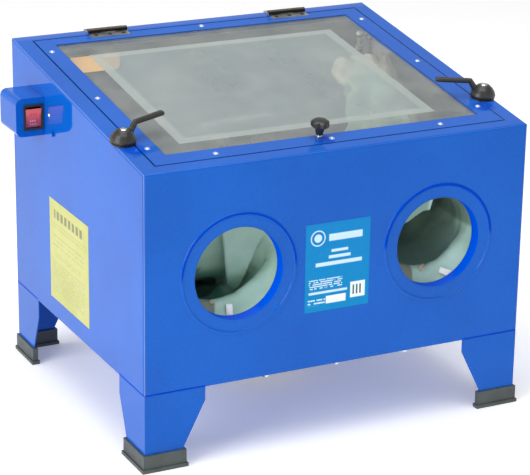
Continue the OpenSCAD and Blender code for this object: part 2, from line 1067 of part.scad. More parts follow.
module hinge_places() {
    for (side = [-1, 1])
        on_slope(side * hinge_span / 2, hinge_s, hinge_n)
            children();
}

// Knuckle of one hinge, between two places along its pin.
module knuckle(x0, x1) {
    translate([x0, 0, 0])
        along_x()
            difference() {
                cylinder(r = knuckle_r, h = x1 - x0, $fn = 48);
                translate([0, 0, -1])
                    cylinder(r = pin_r + fit, h = x1 - x0 + 2, $fn = 48);
            }
}

// Fixed leaves: a plate on the rear strip and the two outer knuckles.
module hinge_rear_leaves() {
    edge = hinge_w / 2;
    color("gray")
        hinge_places() {
            knuckle(-edge, -edge + knuckle_w);
            knuckle(edge - knuckle_w, edge);
            difference() {
                union() {
                    block([-edge, knuckle_r + 0.3, -hinge_n], [edge, 17, -hinge_n + 1.8]);
                    for (x = [-edge, edge - knuckle_w])
                        block([x, 1, -hinge_n + 0.6], [x + knuckle_w, knuckle_r + 1, -hinge_n + 1.8]);
                }
                translate([-edge - 1, 0, 0])
                    along_x()
                        cylinder(r = pin_r + 0.4, h = hinge_w + 2, $fn = 48);
                for (x = [-20, 20])
                    translate([x, 11, -9])
                        cylinder(r = 2, h = 10, $fn = 24);
            }
        }
}

// Moving leaves: a plate on the lid and the middle knuckle.
module hinge_front_leaves() {
    edge = hinge_w / 2;
    mid = edge - knuckle_w - 0.2;
    color("silver")
        hinge_places() {
            knuckle(-mid, mid);
            difference() {
                union() {
                    block([-edge, -17, -hinge_n], [edge, -knuckle_r - 0.6, -hinge_n + 1.8]);
                    block([-mid, -knuckle_r - 1, -hinge_n + 0.6], [mid, -1, -hinge_n + 1.8]);
                }
                translate([-edge - 1, 0, 0])
                    along_x()
                        cylinder(r = pin_r + 0.4, h = hinge_w + 2, $fn = 48);
                for (x = [-22, 0, 22])
                    translate([x, -11, -9])
                        cylinder(r = 2, h = 10, $fn = 24);
            }
        }
}

module hinge_pins() {
    color("silver")
        hinge_places()
            along_x()
                cylinder(r = pin_r, h = hinge_w + 1, center = true, $fn = 48);
}

module hinge_screws() {
    color("silver")
        hinge_places()
            for (x = [-20, 20])
                translate([x, 11, -hinge_n + 1.8])
                    dome_screw(3.2, 1.6, 1.9, 1.8);
}

// ---------- lid ----------

module knob_bore(r) {
    on_slope(knob_at[0], knob_at[1], -20)
        cylinder(r = r, h = 30, $fn = 48);
}

function lid_screw_spots() = concat(
    [for (side = [-1, 1], s = [75, 250, 426]) [side * 257, s]],
    [[-175, 35], [0, 35], [172, 35], [0, 464]]
);

module lid_frame() {
    window = [bar_side, bar_front, bar_rear];
    edge = [lid_gap, lid_gap, lid_gap];
    rim = edge + [sheet_t, sheet_t, sheet_t];
    color("royalblue")
        difference() {
            union() {
                slope_ring(edge, window, -sheet_t, 0);
                slope_ring(edge, rim, -rim_h, 0);
            }
            knob_bore(2.5 + fit);
            for (at = lid_screw_spots())
                on_slope(at[0], at[1], -5)
                    cylinder(r = 2, h = 10, $fn = 24);
        }
}

module window_glass() {
    lap = 4.5;
    color("lightgray", 0.5)
        on_slope()
            block(
                [-open_x + bar_side - lap, open_s0 + bar_front - lap, -sheet_t - glass_t],
                [open_x - bar_side + lap, open_s1 - bar_rear + lap, -sheet_t]
            );
}

// Replaceable film stuck under the middle of the glass.
module window_film() {
    mid_s = (open_s0 + open_s1) / 2 + 1;
    top = -sheet_t - glass_t;
    color("lightgray", 0.5)
        on_slope()
            block(
                [film_shift - film_size[0] / 2, mid_s - film_size[1] / 2, top - 0.4],
                [film_shift + film_size[0] / 2, mid_s + film_size[1] / 2, top]
            );
}

// Clamping frame that holds the glass up against the lid.
module glass_retainer() {
    top = -sheet_t - glass_t;
    color("royalblue")
        difference() {
            slope_ring([8, 8, 8], [bar_side - 1, bar_front - 1, bar_rear - 1], top - retainer_t, top);
            knob_bore(2.5 + fit);
            for (at = lid_screw_spots())
                on_slope(at[0], at[1], -9)
                    cylinder(r = 1.9, h = 10, $fn = 24);
        }
}

// Domed screws of the lid, and the three in each hinge's front leaf.
module lid_screws() {
    color("silver") {
        for (at = lid_screw_spots())
            on_slope(at[0], at[1], 0)
                dome_screw(4, 2, 1.9, sheet_t + glass_t + retainer_t);
        hinge_places()
            for (x = [-22, 0, 22])
                translate([x, -11, -hinge_n + 1.8])
                    dome_screw(3.2, 1.6, 1.9, 1.8);
    }
}

// Plates on the lid that the lever studs turn in; they reach out over the deck strips.
module clamp_plates() {
    color("black")
        both_sides()
            on_slope(-lever_x, lever_s, 0)
                difference() {
                    union() {
                        translate([0, 0, gap])
                            cylinder(r = plate_r, h = plate_n - gap, $fn = 64);
                        intersection() {
                            cylinder(r = plate_r, h = plate_n, $fn = 64);
                            block([lever_x - open_x + lid_gap + 0.5, -20, 0], [20, 20, plate_n]);
                        }
                    }
                    translate([0, 0, -5])
                        cylinder(r = stud_r + fit, h = 10, $fn = 48);
                }
}

// Clamp lever about its own pivot, arm along +X.
module lever_form() {
    low = plate_n + 0.2;
    arm_n = 25;
    bend = 21;
    difference() {
        rotate_extrude($fn = 64)
            polygon([[0, low], [16.5, low], [18, low + 1.5], [18, 6], [16.6, 10], [13.4, 14.5], [9.6, 18], [8, 19], [0, 19]]);
        translate([0, 0, -5])
            cylinder(r = stud_r + fit, h = 40, $fn = 48);
        translate([0, 0, 17.6])
            cylinder(r = 5.2, h = 10, $fn = 48);
    }
    hull() {
        translate([10.5, 0, 10])
            sphere(r = 5, $fn = 24);
        translate([bend, 0, arm_n])
            sphere(r = 3.8, $fn = 24);
    }
    hull() {
        translate([bend, 0, arm_n])
            sphere(r = 3.8, $fn = 24);
        for (y = [-1.6, 1.6])
            translate([lever_len - 5, y, arm_n + 0.6])
                sphere(r = 3.4, $fn = 24);
    }
}

// Stud of a clamp lever, with its bright cap sunk in the boss.
module stud_form() {
    translate([0, 0, -9])
        cylinder(r = stud_r, h = 28, $fn = 48);
    translate([0, 0, 17.6])
        cylinder(r = 5, h = 2, $fn = 48);
    translate([0, 0, 19.6])
        dome(5, 1.6);
}

module lever_left() {
    color("#303030")
        on_slope(-lever_x, lever_s, 0)
            rotate([0, 0, lever_turn])
                lever_form();
}

module lever_left_screw() {
    color("silver")
        on_slope(-lever_x, lever_s, 0)
            stud_form();
}

module lever_right() {
    color("#303030")
        on_slope(lever_x, lever_s, 0)
            rotate([0, 0, 180 - lever_turn])
                lever_form();
}

module lever_right_screw() {
    color("silver")
        on_slope(lever_x, lever_s, 0)
            stud_form();
}

// Lobed knob on a neck.
module lid_knob() {
    lobes = 7;
    color("#303030")
        on_slope(knob_at[0], knob_at[1], 0)
            difference() {
                union() {
                    translate([0, 0, 5])
                        cylinder(r1 = 5, r2 = 7, h = 10, $fn = 48);
                    translate([0, 0, 14])
                        intersection() {
                            linear_extrude(height = 13)
                                union() {
                                    circle(r = knob_r - 3, $fn = 64);
                                    for (k = [0:lobes - 1])
                                        rotate([0, 0, k * 360 / lobes])
                                            translate([knob_r - 4, 0])
                                                circle(r = 4, $fn = 32);
                                }
                            rotate_extrude($fn = 64)
                                polygon([[0, 0], [7, 0], [12, 3], [14, 6], [13, 9.5], [9, 12], [0, 12.6]]);
                        }
                }
                translate([0, 0, -1])
                    cylinder(r = 2.5, h = 16, $fn = 32);
            }
}

// Stud of the knob, with the nut that keeps it in the lid.
module knob_stud() {
    low = -sheet_t - glass_t - retainer_t;
    color("silver")
        on_slope(knob_at[0], knob_at[1], 0) {
            translate([0, 0, low - 4])
                cylinder(r = 2.5, h = 19 - low, $fn = 32);
            translate([0, 0, low - 3.1])
                cylinder(r = 4.6, h = 3, $fn = 6);
            translate([0, 0, 0.1])
                cylinder(r = 4.2, h = 2.2, $fn = 48);
        }
}

front_panel();
left_panel();
right_panel();
rear_panel();
lid_ledge();
lid_seal();
hopper();
hopper_outlet();
outlet_gate();
hopper_bolts();
leg_front_left();
leg_front_right();
leg_rear_left();
leg_rear_right();
rubber_boots();
leg_bolts();
port_collars();
sleeve_clamps();
glove_left();
glove_right();
floor_grate();
grate_rails();
dust_port();
panel_screws();
air_inlet();
air_elbow();
air_hose();
gun_body();
gun_nozzle();
gun_trigger();
trigger_pin();
gun_hook();
suction_hose();
pickup_tube();
switch_box();
switch_bezel();
rocker();
power_inlet();
lamp_housing();
lamp_lens();
lamp_cable();
front_label();
side_label();
hinge_rear_leaves();
hinge_pins();
hinge_screws();
lid_frame();
window_glass();
window_film();
glass_retainer();
lid_screws();
hinge_front_leaves();
clamp_plates();
clamp_nuts();
lever_left();
lever_left_screw();
lever_right();
lever_right_screw();
lid_knob();
knob_stud();
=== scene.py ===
import math

import bmesh
import bpy
from mathutils import Euler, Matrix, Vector, noise


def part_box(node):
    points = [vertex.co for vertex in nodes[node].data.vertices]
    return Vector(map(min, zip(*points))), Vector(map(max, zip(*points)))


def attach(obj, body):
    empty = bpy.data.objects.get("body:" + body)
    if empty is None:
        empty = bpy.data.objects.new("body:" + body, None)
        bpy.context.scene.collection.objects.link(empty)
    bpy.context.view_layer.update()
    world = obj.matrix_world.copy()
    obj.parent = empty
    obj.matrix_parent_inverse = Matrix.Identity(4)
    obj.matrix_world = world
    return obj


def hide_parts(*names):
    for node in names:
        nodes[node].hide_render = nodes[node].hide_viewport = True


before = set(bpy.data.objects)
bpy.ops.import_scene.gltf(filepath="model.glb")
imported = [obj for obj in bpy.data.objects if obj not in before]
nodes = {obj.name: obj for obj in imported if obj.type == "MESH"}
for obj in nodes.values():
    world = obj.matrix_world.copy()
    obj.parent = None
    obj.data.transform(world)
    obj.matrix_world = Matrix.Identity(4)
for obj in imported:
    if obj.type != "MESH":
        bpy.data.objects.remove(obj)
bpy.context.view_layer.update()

MM = 0.001

# The body: half its width and depth, and the height and slope of its top, in metres and radians
HALF_W, HALF_D = 0.295, 0.245
FRONT_TOP, SLOPE = 0.425, math.atan2(0.070, 0.490)

# The ports' distance from the middle, their height, and the radius of the ring pressed round each
PORT_X, PORT_Z, RING_RADIUS = 0.155, 0.268, 0.0852


# ---------- camera, light and floor ----------

CAMERA_PLACE = (-1.3640, -2.7306, 1.2922)
CAMERA_TURN = (70.621, -0.808, -26.355)
CAMERA_LENS = 148.7

# Brightness of the surroundings at the sine of the height above the horizon
SKY = ((0.02, 1.0), (0.22, 0.9), (0.45, 0.42), (0.75, 0.45), (0.98, 0.8))


def make_camera():
    """The camera that the main render is taken with."""
    data = bpy.data.cameras.new("camera")
    data.lens = CAMERA_LENS
    data.sensor_width = 36.0
    data.clip_start, data.clip_end = 0.05, 60.0
    camera = bpy.data.objects.new("camera", data)
    camera.location = CAMERA_PLACE
    camera.rotation_euler = Euler([math.radians(a) for a in CAMERA_TURN])
    bpy.context.scene.collection.objects.link(camera)
    bpy.context.scene.camera = camera


def soft_light(name, place, aim, size, power):
    data = bpy.data.lights.new(name, "AREA")
    data.shape = "RECTANGLE"
    data.size, data.size_y = size
    data.energy = power
    light = bpy.data.objects.new(name, data)
    light.location = place
    light.rotation_euler = (Vector(aim) - Vector(place)).to_track_quat("-Z", "Y").to_euler()
    bpy.context.scene.collection.objects.link(light)


def make_studio():
    """A pale sky, two large soft lights and a white floor."""
    world = bpy.data.worlds.new("studio")
    world.use_nodes = True
    tree = world.node_tree
    place = tree.nodes.new("ShaderNodeTexCoord")
    split = tree.nodes.new("ShaderNodeSeparateXYZ")
    sky = tree.nodes.new("ShaderNodeValToRGB")
    for at, level in SKY:
        stop = sky.color_ramp.elements.new(at)
        stop.color = (level, level, level * 1.01, 1)
    sky.color_ramp.elements.remove(sky.color_ramp.elements[0])
    sky.color_ramp.elements.remove(sky.color_ramp.elements[-1])
    tree.links.new(place.outputs["Generated"], split.inputs[0])
    tree.links.new(split.outputs["Z"], sky.inputs["Fac"])
    tree.links.new(sky.outputs["Color"], tree.nodes["Background"].inputs["Color"])
    bpy.context.scene.world = world
    bpy.context.scene.view_settings.view_transform = "Standard"
    soft_light("left", (-3.2, -1.0, 1.7), (0, 0, 0.25), (2.2, 2.2), 75)
    soft_light("top", (-0.2, -0.4, 3.0), (0, 0, 0.2), (2.4, 2.4), 49)

    mesh = bpy.data.meshes.new("floor")
    mesh.from_pydata([(-9, -9, 0), (9, -9, 0), (9, 9, 0), (-9, 9, 0)], [], [(0, 1, 2, 3)])
    floor = bpy.data.objects.new("floor", mesh)
    bpy.context.scene.collection.objects.link(floor)
    floor.location.z = -0.0004
    finish = Finish("floor_white", (0.96, 0.96, 0.96), 0.9)
    finish.set("Emission Color", (1, 1, 1, 1))
    finish.set("Emission Strength", 0.2)
    floor.data.materials.append(finish.material)


# ---------- materials ----------


class Finish:
    """A Principled material, with short calls for the nodes that feed it."""

    def __init__(self, name, colour, roughness, **sockets):
        self.material = bpy.data.materials.new(name)
        self.material.use_nodes = True
        self.tree = self.material.node_tree
        self.shader = self.tree.nodes["Principled BSDF"]
        self.set("Base Color", (*colour, 1))
        self.set("Roughness", roughness)
        for key, value in sockets.items():
            self.set(key.replace("_", " "), value)
        self.place = self.node("ShaderNodeTexCoord").outputs["Object"]

    def set(self, socket, value):
        self.feed(self.shader.inputs[socket], value)

    def feed(self, socket, value):
        if isinstance(value, bpy.types.NodeSocket):
            self.tree.links.new(value, socket)
        elif value is not None:
            socket.default_value = value

    def node(self, kind, **settings):
        made = self.tree.nodes.new(kind)
        for key, value in settings.items():
            setattr(made, key, value)
        return made

    def maths(self, operation, a, b=None):
        made = self.node("ShaderNodeMath", operation=operation)
        self.feed(made.inputs[0], a)
        self.feed(made.inputs[1], b)
        return made.outputs[0]

    def noise(self, scale, detail=3.0, stretch=(1, 1, 1), rough=0.5):
        mapping = self.node("ShaderNodeMapping")
        self.feed(mapping.inputs["Vector"], self.place)
        mapping.inputs["Scale"].default_value = stretch
        made = self.node("ShaderNodeTexNoise")
        self.feed(made.inputs["Vector"], mapping.outputs[0])
        made.inputs["Scale"].default_value = scale
        made.inputs["Detail"].default_value = detail
        made.inputs["Roughness"].default_value = rough
        return made.outputs["Fac"]

    def ramp(self, value, low, high, start=0.0, end=1.0):
        """start below low and end above high, smooth in between."""
        made = self.node("ShaderNodeMapRange", interpolation_type="SMOOTHSTEP")
        self.feed(made.inputs["Value"], value)
        self.feed(made.inputs["From Min"], low)
        self.feed(made.inputs["From Max"], high)
        self.feed(made.inputs["To Min"], start)
        self.feed(made.inputs["To Max"], end)
        return made.outputs[0]

    def mix(self, share, a, b):
        made = self.node("ShaderNodeMix", data_type="RGBA")
        self.feed(made.inputs["Factor"], share)
        self.feed(made.inputs["A"], (*a, 1) if isinstance(a, tuple) else a)
        self.feed(made.inputs["B"], (*b, 1) if isinstance(b, tuple) else b)
        return made.outputs["Result"]

    def axes(self):
        made = self.node("ShaderNodeSeparateXYZ")
        self.feed(made.inputs[0], self.place)
        return made.outputs

    def facing(self):
        """The surface's own direction, as X, Y and Z outputs."""
        made = self.node("ShaderNodeSeparateXYZ")
        self.feed(made.inputs[0], self.node("ShaderNodeTexCoord").outputs["Normal"])
        return made.outputs

    def inside(self, value, low, high, soft=0.0004):
        """1 between low and high, 0 outside."""
        above = self.ramp(value, low - soft, low + soft)
        below = self.ramp(value, high - soft, high + soft, 1.0, 0.0)
        return self.maths("MULTIPLY", above, below)

    def box(self, u, v, low, high, soft=0.0005):
        """1 inside a rectangle from low to high, 0 outside."""
        across = self.inside(u, low[0], high[0], soft)
        upward = self.inside(v, low[1], high[1], soft)
        return self.maths("MULTIPLY", across, upward)

    def most(self, values):
        found = values[0]
        for value in values[1:]:
            found = self.maths("MAXIMUM", found, value)
        return found

    def rounded(self, radius):
        """A surface direction that turns softly round sharp folds."""
        made = self.node("ShaderNodeBevel")
        made.samples = 4
        made.inputs["Radius"].default_value = radius
        return made.outputs[0]

    def bump(self, height, distance, strength=1.0, normal=None):
        made = self.node("ShaderNodeBump")
        self.feed(made.inputs["Normal"], normal)
        made.inputs["Strength"].default_value = strength
        made.inputs["Distance"].default_value = distance
        self.feed(made.inputs["Height"], height)
        self.set("Normal", made.outputs[0])


def slope_axes(finish):
    """Distance up the sloping top from its front edge, and height above it."""
    axes = finish.axes()
    y = finish.maths("ADD", axes["Y"], HALF_D)
    z = finish.maths("SUBTRACT", axes["Z"], FRONT_TOP)
    up = finish.maths(
        "ADD",
        finish.maths("MULTIPLY", y, math.cos(SLOPE)),
        finish.maths("MULTIPLY", z, math.sin(SLOPE)),
    )
    out = finish.maths(
        "SUBTRACT",
        finish.maths("MULTIPLY", z, math.cos(SLOPE)),
        finish.maths("MULTIPLY", y, math.sin(SLOPE)),
    )
    return up, out


def chamber(finish):
    """1 on surfaces that the blast reaches: inside the sheet and above the hopper's upper side."""
    axes = finish.axes()
    out = slope_axes(finish)[1]
    skin = 0.0009
    walls = finish.maths(
        "MULTIPLY",
        finish.inside(axes["X"], -HALF_W + skin, HALF_W - skin, 0.0002),
        finish.inside(axes["Y"], -HALF_D + skin, HALF_D - skin, 0.0002),
    )
    under_top = finish.ramp(out, -0.0011, -0.0009, 1.0, 0.0)
    over_hopper = finish.ramp(axes["Z"], 0.1125, 0.1128)
    return finish.maths("MULTIPLY", walls, finish.maths("MULTIPLY", under_top, over_hopper))


# The paint's colour, the two tones it drifts between, and the colour of blasting dust
BLUE = (0.001, 0.100, 0.500)
PAINT_TONES = ((0.0008, 0.094, 0.475), (0.0012, 0.107, 0.525))
DUST = (0.27, 0.25, 0.225)

# Middle (X, Y) and radius of each patch of lid paint coloured as if it mirrored a dark fitting
MIRRORED = ((-0.012, -0.214, 0.014), (-0.274, -0.168, 0.018), (0.266, -0.174, 0.017))


def blue_paint(name, dusty=None, pressed=False, bore=False, mirrors=False):
    """Glossy blue paint with dust and painted sheen on faces that look up.

    dusty gives the share of blasting dust at each point. pressed paints shade into the rings round the ports
    and the joints above the legs, bore paints light onto the walls of a bore that runs along Y, and mirrors
    adds the patches in front of the knob and the levers.
    """
    finish = Finish(
        name, BLUE, 0.4, Coat_Weight=1.0, Coat_Roughness=0.03, Coat_IOR=1.30, Specular_IOR_Level=0.0
    )
    cloud = finish.noise(7.0, 2.0)
    tint = finish.mix(finish.ramp(cloud, 0.3, 0.7), *PAINT_TONES)
    if bore:
        # Painted light: the bore's walls are made a brighter blue, with less coat.
        lit_wall = finish.ramp(finish.maths("ABSOLUTE", finish.facing()["Y"]), 0.3, 0.7, 1.0, 0.0)
        tint = finish.mix(lit_wall, tint, (0.0, 0.098, 0.80))
        finish.set("Coat Weight", finish.ramp(lit_wall, 0.0, 1.0, 1.0, 0.04))
    fleck = finish.ramp(finish.noise(900.0, 1.0), 0.42, 0.6, 0.9, 1.06)
    shade = finish.node("ShaderNodeMix", data_type="RGBA", blend_type="MULTIPLY")
    shade.inputs["Factor"].default_value = 1.0
    finish.feed(shade.inputs["A"], tint)
    finish.feed(shade.inputs["B"], fleck)
    colour = shade.outputs["Result"]
    # Dust and painted sheen: faces that look up are paled, more so at the rear.
    rear = finish.ramp(finish.axes()["Y"], 0.222, 0.238, 0.026, 0.11)
    dust_and_sheen = finish.maths("MULTIPLY", finish.ramp(finish.facing()["Z"], 0.8, 0.95), rear)
    colour = finish.mix(dust_and_sheen, colour, (0.60, 0.58, 0.56))
    if mirrors:
        mirrored = mirrored_fittings(finish)
        colour = finish.mix(mirrored, colour, (0.0, 0.062, 0.50))
        finish.set("Coat Weight", finish.ramp(mirrored, 0.0, 1.0, 1.0, 0.5))
    if pressed:
        # Painted shade in the upper arcs of the port rings and along the leg joints.
        painted_shade = finish.maths("MAXIMUM", ring_shadow(finish), leg_seam(finish))
        colour = finish.mix(painted_shade, colour, (0.0, 0.045, 0.50))
    rough = finish.ramp(finish.noise(30.0, 4.0), 0.3, 0.75, 0.26, 0.40)
    if dusty:
        share = dusty(finish)
        patch = finish.ramp(finish.noise(14.0, 5.0), 0.25, 0.8, 0.72, 1.0)
        share = finish.maths("MULTIPLY", share, patch)
        grime = finish.mix(finish.noise(60.0, 4.0), DUST, tuple(c * 1.35 for c in DUST))
        colour = finish.mix(share, colour, grime)
        rough = finish.maths("ADD", rough, finish.maths("MULTIPLY", share, 0.45))
        cover = finish.ramp(share, 0.0, 0.6, 1.0, 0.03)
        if pressed:
            cover = finish.maths("MULTIPLY", cover, finish.ramp(painted_shade, 0.0, 0.7, 1.0, 0.1))
        finish.set("Coat Weight", cover)
    finish.set("Base Color", colour)
    finish.set("Roughness", rough)
    peel = finish.noise(160.0, 2.0)
    finish.bump(peel, 0.00006, 0.35, finish.rounded(0.0014))
    return finish.material


def mirrored_fittings(finish):
    """Patches of the top coloured as if the paint mirrored the dark knob and lever bosses."""
    axes = finish.axes()
    patches = 0.0
    for x, y, radius in MIRRORED:
        across = finish.maths("SUBTRACT", axes["X"], x)
        along = finish.maths("SUBTRACT", axes["Y"], y)
        square = finish.maths(
            "ADD", finish.maths("MULTIPLY", across, across), finish.maths("MULTIPLY", along, along)
        )
        patch = finish.ramp(finish.maths("SQRT", square), radius * 0.7, radius * 1.1, 0.85, 0.0)
        patches = finish.maths("MAXIMUM", patches, patch)
    return finish.maths("MULTIPLY", patches, finish.ramp(finish.facing()["Z"], 0.8, 0.95))


def ring_shadow(finish):
    """Painted shade in the upper arcs of the rings pressed round the ports."""
    axes = finish.axes()
    up = finish.maths("SUBTRACT", axes["Z"], PORT_Z)
    across = finish.maths("SUBTRACT", finish.maths("ABSOLUTE", axes["X"]), PORT_X)
    radius = finish.maths(
        "SQRT",
        finish.maths("ADD", finish.maths("MULTIPLY", up, up), finish.maths("MULTIPLY", across, across)),
    )
    near = finish.maths("ABSOLUTE", finish.maths("SUBTRACT", radius, RING_RADIUS))
    broad = finish.ramp(axes["X"], -0.01, 0.01, 0.0020, 0.0030)
    line = finish.ramp(near, 0.0006, broad, 1.0, 0.0)
    upper = finish.ramp(up, -0.006, 0.012)
    front = finish.ramp(axes["Y"], -0.236, -0.230, 1.0, 0.0)
    return finish.maths("MULTIPLY", line, finish.maths("MULTIPLY", upper, front))


def leg_seam(finish):
    """Painted shade along the joints between the lower edge of the body and the legs."""
    axes = finish.axes()
    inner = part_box("leg_front_left")[1]
    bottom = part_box("front_panel")[0].z
    edge = finish.ramp(axes["Z"], bottom + 0.0014, bottom + 0.0028, 1.0, 0.0)
    across = finish.ramp(finish.maths("ABSOLUTE", axes["X"]), -inner.x - 0.0005, -inner.x + 0.0005)
    along = finish.ramp(finish.maths("ABSOLUTE", axes["Y"]), -inner.y - 0.0005, -inner.y + 0.0005)
    return finish.maths("MULTIPLY", edge, finish.maths("MULTIPLY", across, along))


def hopper_dust(finish):
    """1 on the hopper's upper side."""
    return finish.ramp(finish.facing()["Z"], 0.05, 0.3)


def steel(name, light, dark, roughness, scale):
    finish = Finish(name, light, roughness, Metallic=1.0)
    grain = finish.noise(scale, 5.0, rough=0.6)
    broad = finish.noise(scale * 0.35, 4.0)
    finish.set("Base Color", finish.mix(finish.ramp(grain, 0.3, 0.72), dark, light))
    finish.set("Roughness", finish.ramp(broad, 0.25, 0.8, roughness * 0.75, roughness * 1.3))
    finish.bump(grain, 0.00005, 0.5)
    return finish.material


def hinge_steel():
    """Plated leaves with darkened knuckles, with a painted highlight on top and painted shade below."""
    finish = Finish("hinge_steel", (0.5, 0.5, 0.5), 0.38, Metallic=0.9)
    out = slope_axes(finish)[1]
    knuckle = finish.ramp(out, 0.0022, 0.0034)
    # Painted highlight on top of the knuckles and painted shade on their sides and undersides.
    knuckle_lit_top = finish.ramp(finish.facing()["Z"], 0.3, 0.95)
    barrel = finish.mix(knuckle_lit_top, (0.022, 0.017, 0.013), (0.13, 0.12, 0.10))
    grain = finish.noise(240.0, 5.0, (0.2, 1, 1))
    plate = finish.mix(finish.ramp(grain, 0.3, 0.7), (0.36, 0.37, 0.36), (0.58, 0.59, 0.57))
    finish.set("Base Color", finish.mix(knuckle, plate, barrel))
    finish.set("Roughness", finish.ramp(knuckle, 0.0, 1.0, 0.36, 0.5))
    finish.bump(grain, 0.00005, 0.4)
    return finish.material


def lid_screw_steel():
    """Pale domed screws round the lid; those on the hinge leaves are painted near black as shade of their
    recesses.
    """
    finish = Finish("lid_screw_steel", (0.5, 0.56, 0.8), 0.3, Metallic=0.5)
    low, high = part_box("hinge_front_leaves")
    axes = finish.axes()
    leaf = finish.inside(finish.maths("ABSOLUTE", axes["X"]), high.x - 0.075, high.x + 0.002)
    # Painted shade: the screws on the hinge leaves are made near black, for their cross recesses.
    hinge = finish.maths("MULTIPLY", leaf, finish.ramp(axes["Y"], low.y - 0.003, low.y - 0.001))
    cloud = finish.mix(finish.noise(300.0, 3.0), (0.44, 0.50, 0.74), (0.55, 0.61, 0.84))
    finish.set("Base Color", finish.mix(hinge, cloud, (0.015, 0.014, 0.012)))
    finish.set("Metallic", finish.ramp(hinge, 0.0, 1.0, 0.5, 0.0))
    finish.set("Roughness", finish.ramp(hinge, 0.0, 1.0, 0.3, 0.75))
    finish.bump(finish.noise(300.0, 3.0), 0.00003, 0.4)
    return finish.material


def elbow_chrome():
    """Plating that is bright above and painted dark below, as if it mirrored the chamber."""
    finish = Finish("elbow_chrome", (0.9, 0.9, 0.9), 0.14, Metallic=0.35)
    shine = finish.ramp(finish.facing()["Z"], -0.35, 0.45)
    cloud = finish.ramp(finish.noise(160.0, 3.0), 0.3, 0.7, 0.85, 1.0)
    light = finish.mix(cloud, (0.80, 0.82, 0.80), (1.0, 1.0, 0.98))
    finish.set("Base Color", finish.mix(shine, (0.03, 0.03, 0.03), light))
    finish.bump(finish.noise(300.0, 3.0), 0.00003, 0.4)
    return finish.material


def plain(name, colour, roughness, vary=0.15, scale=220.0, depth=0.00004, **sockets):
    """A moulded, painted or cast surface: fine grain, slight variation of tone and gloss."""
    finish = Finish(name, colour, roughness, **sockets)
    grain = finish.noise(scale, 4.0)
    low = tuple(c * (1 - vary) for c in colour)
    high = tuple(min(1.0, c * (1 + vary)) for c in colour)
    cloud = finish.ramp(finish.noise(scale * 0.12, 4.0), 0.3, 0.7)
    wear = finish.noise(scale * 0.3, 3.0)
    finish.set("Base Color", finish.mix(cloud, low, high))
    finish.set("Roughness", finish.ramp(wear, 0.3, 0.7, roughness * 0.85, roughness * 1.15))
    finish.bump(grain, depth, 0.6)
    return finish.material


def grate_steel():
    """Sheet worn matt by grit."""
    finish = Finish("grate_steel", (0.3, 0.29, 0.27), 0.6, Metallic=0.75)
    wear = finish.ramp(finish.noise(26.0, 6.0, rough=0.6), 0.35, 0.68)
    colour = finish.mix(wear, (0.20, 0.185, 0.165), (0.36, 0.35, 0.33))
    pits = finish.noise(520.0, 3.0)
    finish.set("Base Color", colour)
    finish.set("Roughness", finish.ramp(wear, 0.0, 1.0, 0.75, 0.48))
    finish.set("Metallic", finish.ramp(wear, 0.0, 1.0, 0.35, 0.85))
    finish.bump(pits, 0.00008, 0.7)
    return finish.material


def sleeve_cloth(name, port_x=None, dark=None):
    """Rubberised cloth: a fine plain weave under a matt skin.

    With the X of its port and the Y range in which painted shade turns it dark, it is the side seen in that
    port.
    """
    finish = Finish(name, (0.38, 0.47, 0.41), 0.72, Sheen_Weight=0.1, Sheen_Roughness=0.5)
    axes = finish.axes()
    warp = finish.maths("MULTIPLY", axes["X"], 5200.0)
    weft = finish.maths("MULTIPLY", finish.maths("ADD", axes["Y"], axes["Z"]), 5200.0)
    weave = finish.maths("ADD", finish.maths("SINE", warp), finish.maths("SINE", weft))
    blotch = finish.noise(22.0, 5.0)
    colour = finish.mix(finish.ramp(blotch, 0.3, 0.72), (0.38, 0.58, 0.45), (0.50, 0.72, 0.60))
    if port_x is not None:
        across = finish.maths("SUBTRACT", axes["X"], port_x)
        # Painted shade: a dull brown-grey patch at the lower left of the port.
        colour = finish.mix(cloth_shade_patch(finish, axes, across), colour, (0.22, 0.25, 0.18))
        # Painted shade that grows with depth into the sleeve.
        depth_shade = finish.ramp(axes["Y"], *dark)
        tones = right_port_tones if port_x > 0 else left_port_tones
        colour = tones(finish, axes, across, depth_shade, colour)
    finish.set("Base Color", colour)
    finish.set("Roughness", finish.ramp(finish.noise(70.0, 4.0), 0.3, 0.7, 0.6, 0.82))
    height = finish.maths("ADD", finish.maths("MULTIPLY", weave, 0.16), finish.noise(300.0, 4.0))
    finish.bump(height, 0.00012, 0.8)
    return finish.material


def cloth_shade_patch(finish, axes, across):
    """Painted shade: a dull brown patch at the lower left of each port, with a slanted edge."""
    lean = finish.maths("MULTIPLY", finish.maths("SUBTRACT", axes["Z"], 0.205), -0.3)
    left = finish.ramp(finish.maths("ADD", across, lean), -0.026, -0.022, 1.0, 0.0)
    low = finish.ramp(axes["Z"], 0.240, 0.250, 1.0, 0.0)
    return finish.maths("MULTIPLY", left, low)


def right_port_tones(finish, axes, across, depth_shade, colour):
    """Painted shade: dark with depth, and under the flap and along the top."""
    far_side = finish.ramp(across, -0.01, 0.06, 1.0, 0.55)
    colour = finish.mix(finish.maths("MULTIPLY", depth_shade, far_side), colour, (0.020, 0.060, 0.040))
    above = finish.ramp(axes["Z"], 0.270, 0.279, 0.0, 0.9)
    flap = finish.ramp(across, 0.002, 0.02)
    colour = finish.mix(finish.maths("MULTIPLY", above, flap), colour, (0.17, 0.27, 0.19))
    left = finish.ramp(across, -0.004, 0.002, 0.8, 0.0)
    top = finish.ramp(axes["Z"], 0.276, 0.284)
    return finish.mix(finish.maths("MULTIPLY", left, top), colour, (0.17, 0.29, 0.19))


